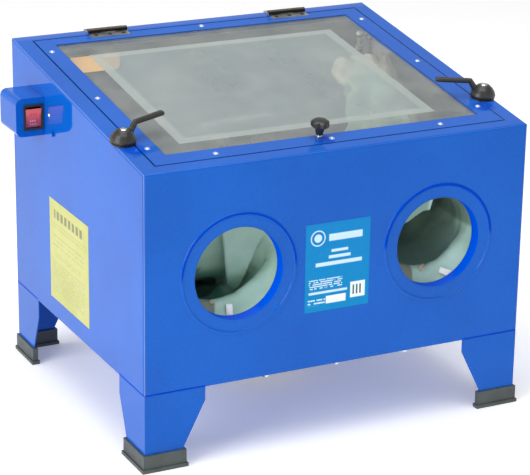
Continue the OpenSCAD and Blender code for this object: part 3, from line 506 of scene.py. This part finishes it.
def left_port_tones(finish, axes, across, depth_shade, colour):
    """Painted shade: a dark pocket at the lower left, and towards the top."""
    left = finish.ramp(across, 0.022, 0.034, 1.0, 0.0)
    low = finish.ramp(axes["Z"], 0.230, 0.248, 1.0, 0.1)
    pocket = finish.maths("MULTIPLY", depth_shade, finish.maths("MULTIPLY", left, low))
    colour = finish.mix(pocket, colour, (0.14, 0.36, 0.29))
    above = finish.ramp(axes["Z"], 0.250, 0.290, 0.0, 0.6)
    return finish.mix(above, colour, (0.25, 0.37, 0.27))


def glove_rubber():
    """Dipped rubber of the hands, beige with paler blotches."""
    finish = Finish("glove_rubber", (0.52, 0.49, 0.38), 0.5, Sheen_Weight=0.08)
    blotch = finish.ramp(finish.noise(34.0, 5.0), 0.3, 0.7)
    finish.set("Base Color", finish.mix(blotch, (0.60, 0.58, 0.42), (0.86, 0.83, 0.66)))
    finish.set("Roughness", finish.ramp(finish.noise(80.0, 3.0), 0.3, 0.7, 0.42, 0.62))
    finish.bump(finish.noise(420.0, 4.0), 0.00014, 0.8)
    return finish.material


def glass():
    """Clear pane: mostly see-through, with the mirror gloss of polished glass and a little dust."""
    finish = Finish(
        "window_glass", (0.42, 0.43, 0.42), 0.04,
        Specular_IOR_Level=1.0, IOR=1.8, Coat_Weight=1.0, Coat_Roughness=0.02,
    )
    dust = finish.ramp(finish.noise(18.0, 6.0, rough=0.65), 0.35, 0.75)
    finish.set("Alpha", finish.maths("ADD", 0.22, finish.maths("MULTIPLY", dust, 0.05)))
    finish.set("Base Color", finish.mix(dust, (0.50, 0.56, 0.56), (0.66, 0.70, 0.66)))
    return finish.material


def film():
    """Hazy film with paler taped edges and faint streaks."""
    finish = Finish("window_film", (0.4, 0.44, 0.42), 0.35, Specular_IOR_Level=0.3)
    low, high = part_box("window_film")
    up = slope_axes(finish)[0]
    axes = finish.axes()
    middle, half = (low.x + high.x) / 2, (high.x - low.x) / 2
    length = (high.y - low.y) / math.cos(SLOPE)
    first = (low.y + HALF_D) / math.cos(SLOPE)
    centre = first + length / 2
    off_middle = finish.maths("ABSOLUTE", finish.maths("SUBTRACT", axes["X"], middle))
    off_centre = finish.maths("ABSOLUTE", finish.maths("SUBTRACT", up, centre))
    from_side = finish.maths("SUBTRACT", half, off_middle)
    from_end = finish.maths("SUBTRACT", length / 2, off_centre)
    edge = finish.maths("MINIMUM", from_side, from_end)
    band = finish.ramp(edge, 0.011, 0.019, 1.0, 0.0)
    streak = finish.noise(9.0, 5.0, (1, 0.25, 1))
    haze = finish.maths("ADD", 0.38, finish.maths("MULTIPLY", band, 0.20))
    finish.set("Alpha", finish.maths("ADD", haze, finish.ramp(streak, 0.3, 0.7, 0.0, 0.06)))
    pane = finish.mix(finish.ramp(streak, 0.3, 0.7), (0.41, 0.50, 0.50), (0.47, 0.56, 0.55))
    finish.set("Base Color", finish.mix(band, pane, (0.55, 0.62, 0.58)))
    return finish.material


def lamp_glow():
    """Frosted diffuser with fine ribs, brightest in the middle."""
    finish = Finish("lamp_glow", (1.0, 0.72, 0.38), 0.4)
    axes = finish.axes()
    low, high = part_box("lamp_lens")
    middle = finish.maths("SUBTRACT", axes["X"], (low.x + high.x) / 2)
    heat = finish.ramp(finish.maths("ABSOLUTE", middle), 0.01, 0.06, 1.0, 0.55)
    rib = finish.maths("SINE", finish.maths("MULTIPLY", axes["X"], 1500.0))
    finish.set("Base Color", finish.mix(heat, (0.50, 0.25, 0.05), (0.62, 0.34, 0.09)))
    finish.set("Emission Color", (1.0, 0.52, 0.09, 1))
    finish.set("Emission Strength", finish.maths("MULTIPLY", heat, 0.75))
    finish.bump(rib, 0.0003, 0.5)
    return finish.material


def rows(finish, u, v, low, high, pitch, fill, seed):
    """Print that reads as rows of small type: bars a pitch apart, broken into words of uneven length."""
    step = finish.maths("FRACT", finish.maths("DIVIDE", finish.maths("SUBTRACT", high[1], v), pitch))
    bar = finish.ramp(step, fill - 0.05, fill + 0.05, 1.0, 0.0)
    index = finish.maths("FLOOR", finish.maths("DIVIDE", finish.maths("SUBTRACT", high[1], v), pitch))
    spread = finish.node("ShaderNodeCombineXYZ")
    finish.feed(spread.inputs[0], finish.maths("MULTIPLY", u, 260.0))
    finish.feed(spread.inputs[1], finish.maths("MULTIPLY", index, 7.31))
    spread.inputs[2].default_value = seed
    grain = finish.node("ShaderNodeTexNoise")
    grain.inputs["Scale"].default_value = 1.0
    grain.inputs["Detail"].default_value = 0.0
    finish.feed(grain.inputs["Vector"], spread.outputs[0])
    word = finish.ramp(grain.outputs["Fac"], 0.40, 0.46)
    return finish.maths("MULTIPLY", finish.maths("MULTIPLY", bar, word), finish.box(u, v, low, high))


def label_blue():
    """Light blue plate: a ring and a bar at the top, three pale bars, small rows and two white boxes."""
    finish = Finish(
        "label_blue", (0.0, 0.26, 0.62), 0.3, Coat_Weight=0.15, Coat_Roughness=0.06, Specular_IOR_Level=0.05
    )
    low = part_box("front_label")[0]
    axes = finish.axes()
    u = finish.maths("SUBTRACT", axes["X"], low.x)
    v = finish.maths("SUBTRACT", axes["Z"], low.z)
    across = finish.maths("SUBTRACT", u, 0.019)
    upward = finish.maths("SUBTRACT", v, 0.107)
    square = finish.maths(
        "ADD", finish.maths("MULTIPLY", across, across), finish.maths("MULTIPLY", upward, upward)
    )
    far = finish.maths("SQRT", square)
    ring = finish.inside(far, 0.0098, 0.0115, 0.0004)
    core = finish.ramp(far, 0.0055, 0.0063, 1.0, 0.0)
    bars = [
        finish.box(u, v, (0.036, 0.101), (0.088, 0.111)),
        finish.box(u, v, (0.040, 0.0845), (0.066, 0.0885)),
        finish.box(u, v, (0.036, 0.0755), (0.070, 0.0800)),
        finish.box(u, v, (0.016, 0.0655), (0.088, 0.0710)),
        finish.box(u, v, (0.006, 0.0255), (0.066, 0.0290)),
    ]
    type_rows = [
        rows(finish, u, v, (0.006, 0.032), (0.058, 0.047), 0.0030, 0.55, 3.0),
        rows(finish, u, v, (0.005, 0.009), (0.032, 0.018), 0.0045, 0.5, 8.0),
    ]
    boxes = [
        finish.box(u, v, (0.033, 0.010), (0.064, 0.021)),
        finish.box(u, v, (0.071, 0.013), (0.094, 0.036)),
    ]
    inset = finish.box(u, v, (0.0745, 0.0175), (0.0905, 0.0315))
    stripes = finish.ramp(finish.maths("SINE", finish.maths("MULTIPLY", u, 1180.0)), -0.1, 0.1)
    mark = finish.maths("MULTIPLY", inset, stripes)
    print_share = finish.most([ring, core, *bars, *type_rows])
    ground = finish.mix(finish.ramp(v, 0.0, 0.128), (0.001, 0.235, 0.53), (0.004, 0.22, 0.54))
    colour = finish.mix(finish.maths("MULTIPLY", print_share, 0.85), ground, (0.66, 0.86, 0.93))
    colour = finish.mix(finish.most(boxes), colour, (0.80, 0.90, 0.90))
    colour = finish.mix(mark, colour, (0.10, 0.13, 0.15))
    finish.set("Base Color", colour)
    finish.set("Roughness", finish.ramp(finish.noise(60.0, 3.0), 0.3, 0.7, 0.18, 0.3))
    finish.bump(print_share, 0.00004, 0.5)
    return finish.material


def label_yellow():
    """Yellow notice: a heading bar broken in blocks, then rows of small grey type."""
    finish = Finish(
        "label_yellow", (0.62, 0.62, 0.18), 0.4, Coat_Weight=0.2, Coat_Roughness=0.15, Specular_IOR_Level=0.2
    )
    low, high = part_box("side_label")
    axes = finish.axes()
    u = finish.maths("SUBTRACT", high.y, axes["Y"])
    v = finish.maths("SUBTRACT", axes["Z"], low.z)
    heading = finish.maths(
        "MULTIPLY",
        finish.box(u, v, (0.018, 0.126), (0.131, 0.139)),
        finish.ramp(finish.maths("SINE", finish.maths("MULTIPLY", u, 430.0)), -0.55, -0.35),
    )
    blocks = [
        rows(finish, u, v, (0.010, 0.108), (0.139, 0.119), 0.0055, 0.42, 1.0),
        rows(finish, u, v, (0.010, 0.079), (0.134, 0.101), 0.0073, 0.34, 4.0),
        rows(finish, u, v, (0.020, 0.066), (0.120, 0.074), 0.0040, 0.45, 6.0),
        rows(finish, u, v, (0.010, 0.012), (0.134, 0.060), 0.0048, 0.40, 9.0),
    ]
    small = finish.maths("MULTIPLY", finish.most(blocks), 0.5)
    cloud = finish.ramp(finish.noise(12.0, 3.0), 0.3, 0.7)
    ground = finish.mix(cloud, (0.44, 0.45, 0.11), (0.50, 0.50, 0.15))
    colour = finish.mix(small, ground, (0.25, 0.27, 0.18))
    colour = finish.mix(finish.maths("MULTIPLY", heading, 0.78), colour, (0.10, 0.11, 0.06))
    finish.set("Base Color", colour)
    finish.set("Roughness", finish.ramp(finish.noise(50.0, 3.0), 0.3, 0.7, 0.3, 0.42))
    finish.bump(heading, 0.00003, 0.4)
    return finish.material


def rocker_red():
    """Translucent red rocker with dark slots in its upper half and two rows of pale marks below."""
    finish = Finish("rocker_red", (0.55, 0.02, 0.03), 0.25, Coat_Weight=0.8, Coat_Roughness=0.08)
    low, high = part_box("rocker")
    axes = finish.axes()
    u = finish.maths("SUBTRACT", axes["X"], (low.x + high.x) / 2)
    v = finish.maths("SUBTRACT", axes["Z"], (low.z + high.z) / 2)
    teeth = finish.ramp(finish.maths("SINE", finish.maths("MULTIPLY", u, 1900.0)), 0.1, 0.8)
    slots = finish.maths("MULTIPLY", finish.box(u, v, (-0.0058, 0.0020), (0.0058, 0.0072), 0.0008), teeth)
    marks = finish.maths(
        "MULTIPLY",
        finish.most([
            finish.box(u, v, (-0.0050, -0.0062), (0.0040, -0.0036), 0.0006),
            finish.box(u, v, (-0.0058, -0.0108), (0.0058, -0.0090), 0.0006),
        ]),
        finish.maths("SUBTRACT", 1.0, teeth),
    )
    # The red is darker towards the bottom and lighter towards the top, and so is its faint emission.
    rise_to_top = finish.ramp(v, -0.012, 0.010)
    red = finish.mix(rise_to_top, (0.30, 0.035, 0.07), (0.78, 0.13, 0.10))
    red = finish.mix(slots, red, (0.48, 0.03, 0.04))
    finish.set("Base Color", finish.mix(finish.maths("MULTIPLY", marks, 0.6), red, (0.62, 0.42, 0.48)))
    finish.set("Emission Color", (1.0, 0.05, 0.04, 1))
    finish.set("Emission Strength", finish.ramp(v, -0.012, 0.012, 0.01, 0.06))
    finish.bump(finish.noise(700.0, 2.0), 0.00003, 0.4)
    return finish.material


def dress(material, *names):
    """Gives CAD nodes a material."""
    for name in names:
        mesh = nodes[name].data
        if mesh.materials:
            for index in range(len(mesh.materials)):
                mesh.materials[index] = material
        else:
            mesh.materials.append(material)


def finish_cad_nodes():
    """Materials of every CAD node that stays in the scene."""
    dress(
        blue_paint("body_paint", chamber, pressed=True, mirrors=True),
        "front_panel", "left_panel", "right_panel", "rear_panel", "grate_rails", "lid_ledge",
    )
    dress(
        blue_paint("trim_paint", mirrors=True),
        "hopper_outlet", "leg_front_left", "leg_front_right", "leg_rear_left", "leg_rear_right",
        "switch_box", "lid_frame", "glass_retainer",
    )
    dress(blue_paint("collar_paint", bore=True), "port_collars")
    dress(blue_paint("hopper_paint", hopper_dust), "hopper")
    dress(
        steel("plated_steel", (0.80, 0.81, 0.83), (0.62, 0.63, 0.66), 0.16, 300.0),
        "hopper_bolts", "leg_bolts", "panel_screws", "lever_left_screw", "lever_right_screw",
        "knob_stud", "clamp_nuts", "trigger_pin", "sleeve_clamps", "air_inlet", "hinge_pins",
    )
    dress(lid_screw_steel(), "lid_screws")
    # Near black: painted shade for the cross recesses of the hinge screws.
    dress(
        plain("dark_screws", (0.02, 0.019, 0.017), 0.6, 0.2, 300.0, Specular_IOR_Level=0.2),
        "hinge_screws",
    )
    dress(
        steel("bare_steel", (0.48, 0.47, 0.45), (0.33, 0.32, 0.30), 0.42, 160.0),
        "outlet_gate", "gun_hook", "pickup_tube",
    )
    dress(elbow_chrome(), "air_elbow")
    dress(hinge_steel(), "hinge_front_leaves", "hinge_rear_leaves")
    dress(grate_steel(), "floor_grate")
    dress(plain("boot_rubber", (0.056, 0.068, 0.065), 0.5, 0.18, 260.0, 0.00008), "rubber_boots")
    # The seal is a dark blue: painted shade of the gap round the lid.
    dress(plain("seal_foam", (0.004, 0.02, 0.12), 0.9, 0.25, 900.0, 0.0002), "lid_seal")
    dress(
        plain("black_plastic", (0.022, 0.022, 0.019), 0.34, 0.2, 700.0, 0.00004),
        "dust_port", "lever_left", "lever_right", "lid_knob", "clamp_plates", "switch_bezel",
        "power_inlet", "lamp_housing",
    )
    dress(plain("gun_alloy", (0.55, 0.55, 0.54), 0.42, 0.12, 420.0, 0.00012, Metallic=0.85), "gun_body")
    dress(plain("nozzle_ceramic", (0.80, 0.76, 0.66), 0.5, 0.08, 300.0), "gun_nozzle")
    dress(plain("trigger_red", (0.42, 0.02, 0.015), 0.3, 0.12, 200.0, Coat_Weight=0.6), "gun_trigger")
    dress(
        plain("hose_rubber", (0.025, 0.025, 0.026), 0.45, 0.2, 500.0, 0.0001),
        "air_hose", "suction_hose", "lamp_cable",
    )
    dress(rocker_red(), "rocker")
    dress(lamp_glow(), "lamp_lens")
    dress(glass(), "window_glass")
    dress(film(), "window_film")
    dress(label_blue(), "front_label")
    dress(label_yellow(), "side_label")


# ---------- sleeves and gloves ----------

# Routes and half widths of the sleeves, in millimetres, as the CAD solids have them
LEFT_ROUTE = [
    (-155, -238, 268), (-155, -205, 268), (-155, -170, 266), (-151, -120, 254), (-145, -65, 232),
    (-137, -10, 208), (-128, 45, 188), (-121, 90, 175), (-116, 130, 168), (-113, 165, 166), (-112, 188, 165),
]
RIGHT_ROUTE = [
    (155, -238, 268), (155, -205, 268), (156, -170, 271), (162, -120, 288), (173, -65, 318),
    (189, -10, 352), (207, 40, 384), (222, 78, 404), (233, 108, 417), (239, 132, 425), (242, 150, 429),
]
SLEEVE_RADII = [
    (71, 71), (71, 71), (69, 69), (66, 66), (60, 60),
    (52, 52), (45, 42), (42, 30), (48, 23), (44, 20), (22, 10),
]

# Index of the route's point where the sleeve ends and the hand begins
WRIST = 7


def step(x, low, high):
    """0 below low, 1 above high, smooth in between."""
    t = min(1.0, max(0.0, (x - low) / (high - low)))
    return t * t * (3 - 2 * t)


def hump(x, middle, width):
    """A smooth bump of height 1."""
    return math.exp(-(((x - middle) / width) ** 2))


def curve_point(points, t):
    """Point of the smooth curve through the points at t, counted in spans."""
    i = min(int(t), len(points) - 2)
    t -= i
    a, b, c, d = (Vector(points[min(max(k, 0), len(points) - 1)]) for k in (i - 1, i, i + 1, i + 2))
    bend = 2 * a - 5 * b + 4 * c - d
    twist = 3 * b - a - 3 * c + d
    return b + ((c - a) * t + bend * t * t + twist * t**3) / 2


class Sleeve:
    """The surface of one sleeve: a point for each angle round it and each distance along it."""

    def __init__(self, route, shape, seed):
        self.route, self.shape, self.seed = route, shape, seed
        steps = 40
        self.marks = [(0.0, 0.0)]
        last = curve_point(route, 0)
        for k in range(1, WRIST * steps + 1):
            here = curve_point(route, k / steps)
            self.marks.append((self.marks[-1][0] + (here - last).length, k / steps))
            last = here
        self.length = self.marks[-1][0]

    def span_at(self, along):
        """The route's own parameter at a distance along it."""
        low, high = 0, len(self.marks) - 1
        while high - low > 1:
            middle = (low + high) // 2
            if self.marks[middle][0] > along:
                high = middle
            else:
                low = middle
        (d0, t0), (d1, t1) = self.marks[low], self.marks[high]
        return t0 + (t1 - t0) * (along - d0) / (d1 - d0)

    def point(self, angle, along):
        """The cloth's middle surface at an angle in radians and a distance along, in millimetres."""
        t = self.span_at(along)
        centre = curve_point(self.route, t)
        later = curve_point(self.route, min(t + 0.05, len(self.route) - 1))
        ahead = later - curve_point(self.route, max(t - 0.05, 0))
        side = ahead.cross(Vector((0, 0, 1))).normalized()
        up = side.cross(ahead.normalized())
        wide, tall = curve_point([(*r, 0) for r in SLEEVE_RADII], t)[:2]
        inward, drop = self.shape(math.degrees(angle) % 360, along, self.length)
        grip = step(along, 12, 26)
        cloth = noise.noise(Vector((math.cos(angle) * 2.2, math.sin(angle) * 2.2, along / 26 + self.seed)))
        fine = noise.noise(Vector((math.cos(angle) * 5.5, math.sin(angle) * 5.5, along / 12 + self.seed)))
        inward = grip * (inward + 2.6 * cloth + 1.0 * fine)
        gather = 0.5 * math.sin(34 * angle) * hump(along, 13, 6)
        r = 1 - (inward + gather) / max(wide, tall)
        offset = side * (wide * r * math.cos(angle)) + up * (tall * r * math.sin(angle))
        return centre + offset + Vector((0, 0, -grip * drop))


def lower_lip(angle, along, middle, width, height):
    """The cloth that lies over the collar's lower side and rises to a fold before it falls away behind."""
    away = abs((angle - middle + 180) % 360 - 180)
    return height * math.exp(-((away / width) ** 3)) * step(along, 11, 33) * (1 - step(along, 36, 56))


def arm_folds(angle, along, length, seed):
    """Soft rings and long folds where the arm of the sleeve lies slack."""
    slack = step(along, 100, 150) * (1 - 0.7 * step(along, length - 60, length))
    turn = math.radians(angle)
    rings = 5.5 * math.sin(along / 9.5 + 1.6 * math.sin(turn * 2 + seed) + seed)
    rings *= 0.6 + 0.4 * math.sin(turn * 3 + along / 40 + seed)
    long_folds = 4.5 * math.sin(turn * 5 + along / 34 + seed * 2)
    return slack * (4.5 + rings + long_folds)


def between(angle, low, high, soft=2.0):
    """1 between two angles, with a soft edge of that many degrees on each side."""
    return step(angle, low - soft, low + soft) * (1 - step(angle, high - soft, high + soft))


def left_shape(angle, along, length):
    """The top of the left sleeve falls behind the port in three panels, parted by two creases."""
    turn = math.radians(angle)
    top = max(0.0, math.sin(turn + 0.12 * math.cos(turn))) ** 0.55
    first = 103 - 42 * step(along, 16, 95)
    second = 33 + 20 * step(along, 18, 85)
    middle = between(angle, second, first)
    narrow = between(angle, second - 15, second)
    shown = step(along, 13, 34) * (1 - step(along, 120, 150))
    fall = step(along, 22, 98 - 22 * middle) * (1 - 0.72 * step(along, 118, 190))
    inward = lower_lip(angle, along, 290, 60, 25) + arm_folds(angle, along, length, 1.3)
    inward += shown * (4.0 * middle + 3.0 * narrow + 2.0 * hump(angle, 128, 14))
    return inward, (104 + 12 * middle) * top * fall


def right_shape(angle, along, length):
    """The right sleeve stays open: a flap hangs at its upper left, and its lower side folds up."""
    flap = 35 * step(angle, 81, 87) * (1 - step(angle, 128, 198))
    flap *= step(along, 11, 20) * (1 - step(along, 24, 34))
    inward = lower_lip(angle, along, 277, 70, 22) + arm_folds(angle, along, length, 4.1) + flap
    inward += 4.0 * hump(angle, 335, 16) * step(along, 11, 30) * (1 - step(along, 36, 50))
    return inward, 0.0


def grid_mesh(name, rows_of_points, closed=True):
    """A sheet of quads through rows of points, each row a ring if closed."""
    count = len(rows_of_points[0])
    points = [p * MM for row in rows_of_points for p in row]
    faces = []
    for i in range(len(rows_of_points) - 1):
        for k in range(count if closed else count - 1):
            a, b = i * count + k, i * count + (k + 1) % count
            faces.append((a, a + count, b + count, b))
    mesh = bpy.data.meshes.new(name)
    mesh.from_pydata(points, [], faces)
    mesh.polygons.foreach_set("use_smooth", [True] * len(mesh.polygons))
    mesh.update()
    piece = bpy.data.objects.new(name, mesh)
    bpy.context.scene.collection.objects.link(piece)
    return piece


def apply_modifiers(piece):
    """Bakes the piece's modifiers into its mesh."""
    bpy.context.view_layer.update()
    graph = bpy.context.evaluated_depsgraph_get()
    mesh = bpy.data.meshes.new_from_object(piece.evaluated_get(graph), depsgraph=graph)
    piece.modifiers.clear()
    piece.data = mesh


def sleeve_piece(name, sleeve, inner, outer):
    """The sleeve as a thick cloth with one material on its inner side and one on its outer side."""
    around, spacing = 200, 2.6
    count = int(sleeve.length / spacing)
    rings = [
        [sleeve.point(2 * math.pi * k / around, sleeve.length * i / count) for k in range(around)]
        for i in range(count + 1)
    ]
    piece = grid_mesh(name, rings)
    thick = piece.modifiers.new("thickness", "SOLIDIFY")
    thick.thickness = 0.0012
    thick.offset = 0.0
    apply_modifiers(piece)
    piece.data.materials.append(inner)
    piece.data.materials.append(outer)
    faces = piece.data.polygons
    shell = around * count
    first = faces[0]
    first_is_outer = (first.center - sum(rings[0], Vector()) * MM / around).dot(first.normal) > 0
    for face in faces:
        face.material_index = int((face.index < shell) == first_is_outer)
    return piece


def ball_chain(shape, a, b, radius_a, radius_b):
    """Overlapping balls from a to b, which a remesh turns into one limb."""
    count = max(2, int((b - a).length / (min(radius_a, radius_b) * 0.45)))
    for k in range(count + 1):
        t = k / count
        radius = radius_a + (radius_b - radius_a) * t
        made = bmesh.ops.create_icosphere(shape, subdivisions=3, radius=radius)
        bmesh.ops.translate(shape, vec=a.lerp(b, t), verts=made["verts"])


def hand_piece(name, route, side_sign, curl, material):
    """A rubber glove: wrist, palm, four fingers and a thumb, in one skin."""
    wrist = Vector(route[WRIST]) * MM
    palm = Vector(route[8]) * MM
    tip = Vector(route[10]) * MM
    ahead = (tip - palm).normalized()
    across = ahead.cross(Vector((0, 0, 1))).normalized()
    up = across.cross(ahead)
    shape = bmesh.new()
    back = wrist - ahead * 0.012
    for share in (-1.0, -0.5, 0.0, 0.5, 1.0):
        ball_chain(shape, back + across * 0.019 * share, palm + across * 0.025 * share, 0.0175, 0.0150)
    for index in range(4):
        share = (index - 1.5) / 1.5
        root = palm + across * (0.029 * share)
        reach = 0.050 - 0.006 * abs(share - 0.2)
        bent = ahead * reach * 0.55 + across * 0.004 * share + up * curl * 0.007
        knuckle = root + bent
        end = knuckle + ahead * reach * 0.42 + across * 0.002 * share - up * (0.010 * curl - 0.001 * index)
        ball_chain(shape, root, knuckle, 0.0112, 0.0096)
        ball_chain(shape, knuckle, end, 0.0096, 0.0084)
    heel = palm - ahead * 0.022 + across * side_sign * 0.028
    bend = heel + ahead * 0.018 + across * side_sign * 0.014 - up * 0.004
    ball_chain(shape, heel, bend, 0.0130, 0.0105)
    ball_chain(shape, bend, bend + ahead * 0.024 + across * side_sign * 0.002, 0.0105, 0.0090)
    mesh = bpy.data.meshes.new(name)
    shape.to_mesh(mesh)
    shape.free()
    piece = bpy.data.objects.new(name, mesh)
    bpy.context.scene.collection.objects.link(piece)
    skin = piece.modifiers.new("skin", "REMESH")
    skin.mode = "VOXEL"
    skin.voxel_size = 0.0018
    even = piece.modifiers.new("even", "SMOOTH")
    even.factor, even.iterations = 0.6, 8
    apply_modifiers(piece)
    for vertex in piece.data.vertices:
        crumple = noise.noise(vertex.co * 60) * 0.0016 + noise.noise(vertex.co * 170) * 0.0006
        vertex.co += vertex.normal * crumple
    piece.data.polygons.foreach_set("use_smooth", [True] * len(piece.data.polygons))
    piece.data.materials.append(material)
    return piece


def cuff_piece(name, sleeve, material):
    """The ribbed band that joins the sleeve to the glove."""
    rings = []
    for i in range(25):
        along = sleeve.length - 17 + i * 0.8
        t = sleeve.span_at(min(along, sleeve.length - 0.01))
        centre = curve_point(sleeve.route, t)
        ahead = curve_point(sleeve.route, t + 0.05) - curve_point(sleeve.route, t - 0.05)
        side = ahead.cross(Vector((0, 0, 1))).normalized()
        up = side.cross(ahead.normalized())
        wide, tall = curve_point([(*r, 0) for r in SLEEVE_RADII], t)[:2]
        swell = 1.6 * math.sin(math.pi * i / 24) ** 0.4 + 0.45 * math.cos(i * 2 * math.pi / 6) - 3.5
        rings.append([
            centre + side * ((wide + swell) * math.cos(a)) + up * ((tall + swell) * math.sin(a))
            for a in (2 * math.pi * k / 72 for k in range(72))
        ])
    piece = grid_mesh(name, rings)
    thick = piece.modifiers.new("thickness", "SOLIDIFY")
    thick.thickness = 0.0016
    apply_modifiers(piece)
    piece.data.materials.append(material)
    return piece


def tag_piece(name, sleeve, angle, along, size, lean, material):
    """A small folded tab sewn to the cloth just inside the port."""
    base = sleeve.point(math.radians(angle), along)
    ahead = (sleeve.point(math.radians(angle), along + 4) - base).normalized()
    side = (sleeve.point(math.radians(angle + 5), along) - base).normalized()
    out = ahead.cross(side).normalized()
    centre = curve_point(sleeve.route, sleeve.span_at(along))
    if out.dot(centre - base) < 0:
        out = -out
    ahead = (ahead * math.cos(lean) + side * math.sin(lean)).normalized()
    side = out.cross(ahead).normalized()
    rows_of_points = []
    for i in range(15):
        t = i / 14
        lift = 1.4 + 3.2 * math.sin(math.pi * t) ** 0.8 + 0.5 * math.sin(9 * t)
        middle = base + ahead * (t - 0.5) * size[1]
        width = size[0] * (1 - 0.12 * t)
        rows_of_points.append([
            middle + side * ((k / 8 - 0.5) * width) + out * (lift + 0.5 * math.sin(k)) for k in range(9)
        ])
    piece = grid_mesh(name, rows_of_points, closed=False)
    thick = piece.modifiers.new("thickness", "SOLIDIFY")
    thick.thickness = 0.0009
    soft = piece.modifiers.new("soft", "SUBSURF")
    soft.levels = soft.render_levels = 1
    apply_modifiers(piece)
    piece.data.polygons.foreach_set("use_smooth", [True] * len(piece.data.polygons))
    piece.data.materials.append(material)
    return piece


def make_work_light():
    """The lamp's light, turned to the right glove so that the glove shows through the film."""
    low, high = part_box("lamp_lens")
    light = bpy.data.lights.new("work_light", "SPOT")
    light.spot_size, light.spot_blend, light.shadow_soft_size = math.radians(56), 1.0, 0.012
    light.energy, light.color = 3.4, (1.0, 0.90, 0.74)
    lamp = bpy.data.objects.new("work_light", light)
    place = Vector((high.x + 0.006, low.y - 0.02, (low.z + high.z) / 2 - 0.004))
    lamp.location = place
    glove = Vector(RIGHT_ROUTE[8]) * MM
    lamp.rotation_euler = (glove - place).to_track_quat("-Z", "Y").to_euler()
    bpy.context.scene.collection.objects.link(lamp)
    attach(lamp, "cabinet")


def make_gloves():
    """Sleeves, cuffs, hands and sewn tabs, in place of the two plain CAD gloves."""
    outer, rubber = sleeve_cloth("sleeve_outside"), glove_rubber()
    band = plain("cuff_band", (0.20, 0.23, 0.20), 0.7, 0.2, 500.0, 0.0001)
    white_tab = plain("tab_white", (0.95, 0.97, 0.90), 0.6, 0.06, 500.0, 0.0001)
    strap = plain("strap_beige", (0.55, 0.50, 0.37), 0.7, 0.15, 500.0, 0.0001)
    # The last entry of each is the Y range over which the inside of the sleeve is painted into shade.
    for side, route, shape, sign, curl, dark in (
        ("left", LEFT_ROUTE, left_shape, 1, 0.4, (-0.19, -0.13)),
        ("right", RIGHT_ROUTE, right_shape, -1, 1.0, (-0.19, -0.07)),
    ):
        sleeve = Sleeve(route, shape, 3.7 if side == "left" else 9.2)
        inner = sleeve_cloth(f"sleeve_{side}_inside", route[0][0] * MM, dark)
        made = [
            sleeve_piece(f"sleeve_{side}", sleeve, inner, outer),
            hand_piece(f"glove_hand_{side}", route, sign, curl, rubber),
            cuff_piece(f"cuff_{side}", sleeve, band),
        ]
        if side == "left":
            made.append(tag_piece("tab_left", sleeve, 268, 21, (11, 19), 0.1, white_tab))
            made.append(tag_piece("strap_left", sleeve, 245, 29, (6, 8), 0.9, strap))
        else:
            made.append(tag_piece("tab_right", sleeve, 298, 20, (10, 21), -0.6, white_tab))
            made.append(tag_piece("strap_right", sleeve, 268, 29, (8, 15), 1.0, strap))
        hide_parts(f"glove_{side}")
        for piece in made:
            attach(piece, "cabinet")


# ---------- the scene ----------

make_camera()
make_studio()
finish_cad_nodes()
make_gloves()
make_work_light()
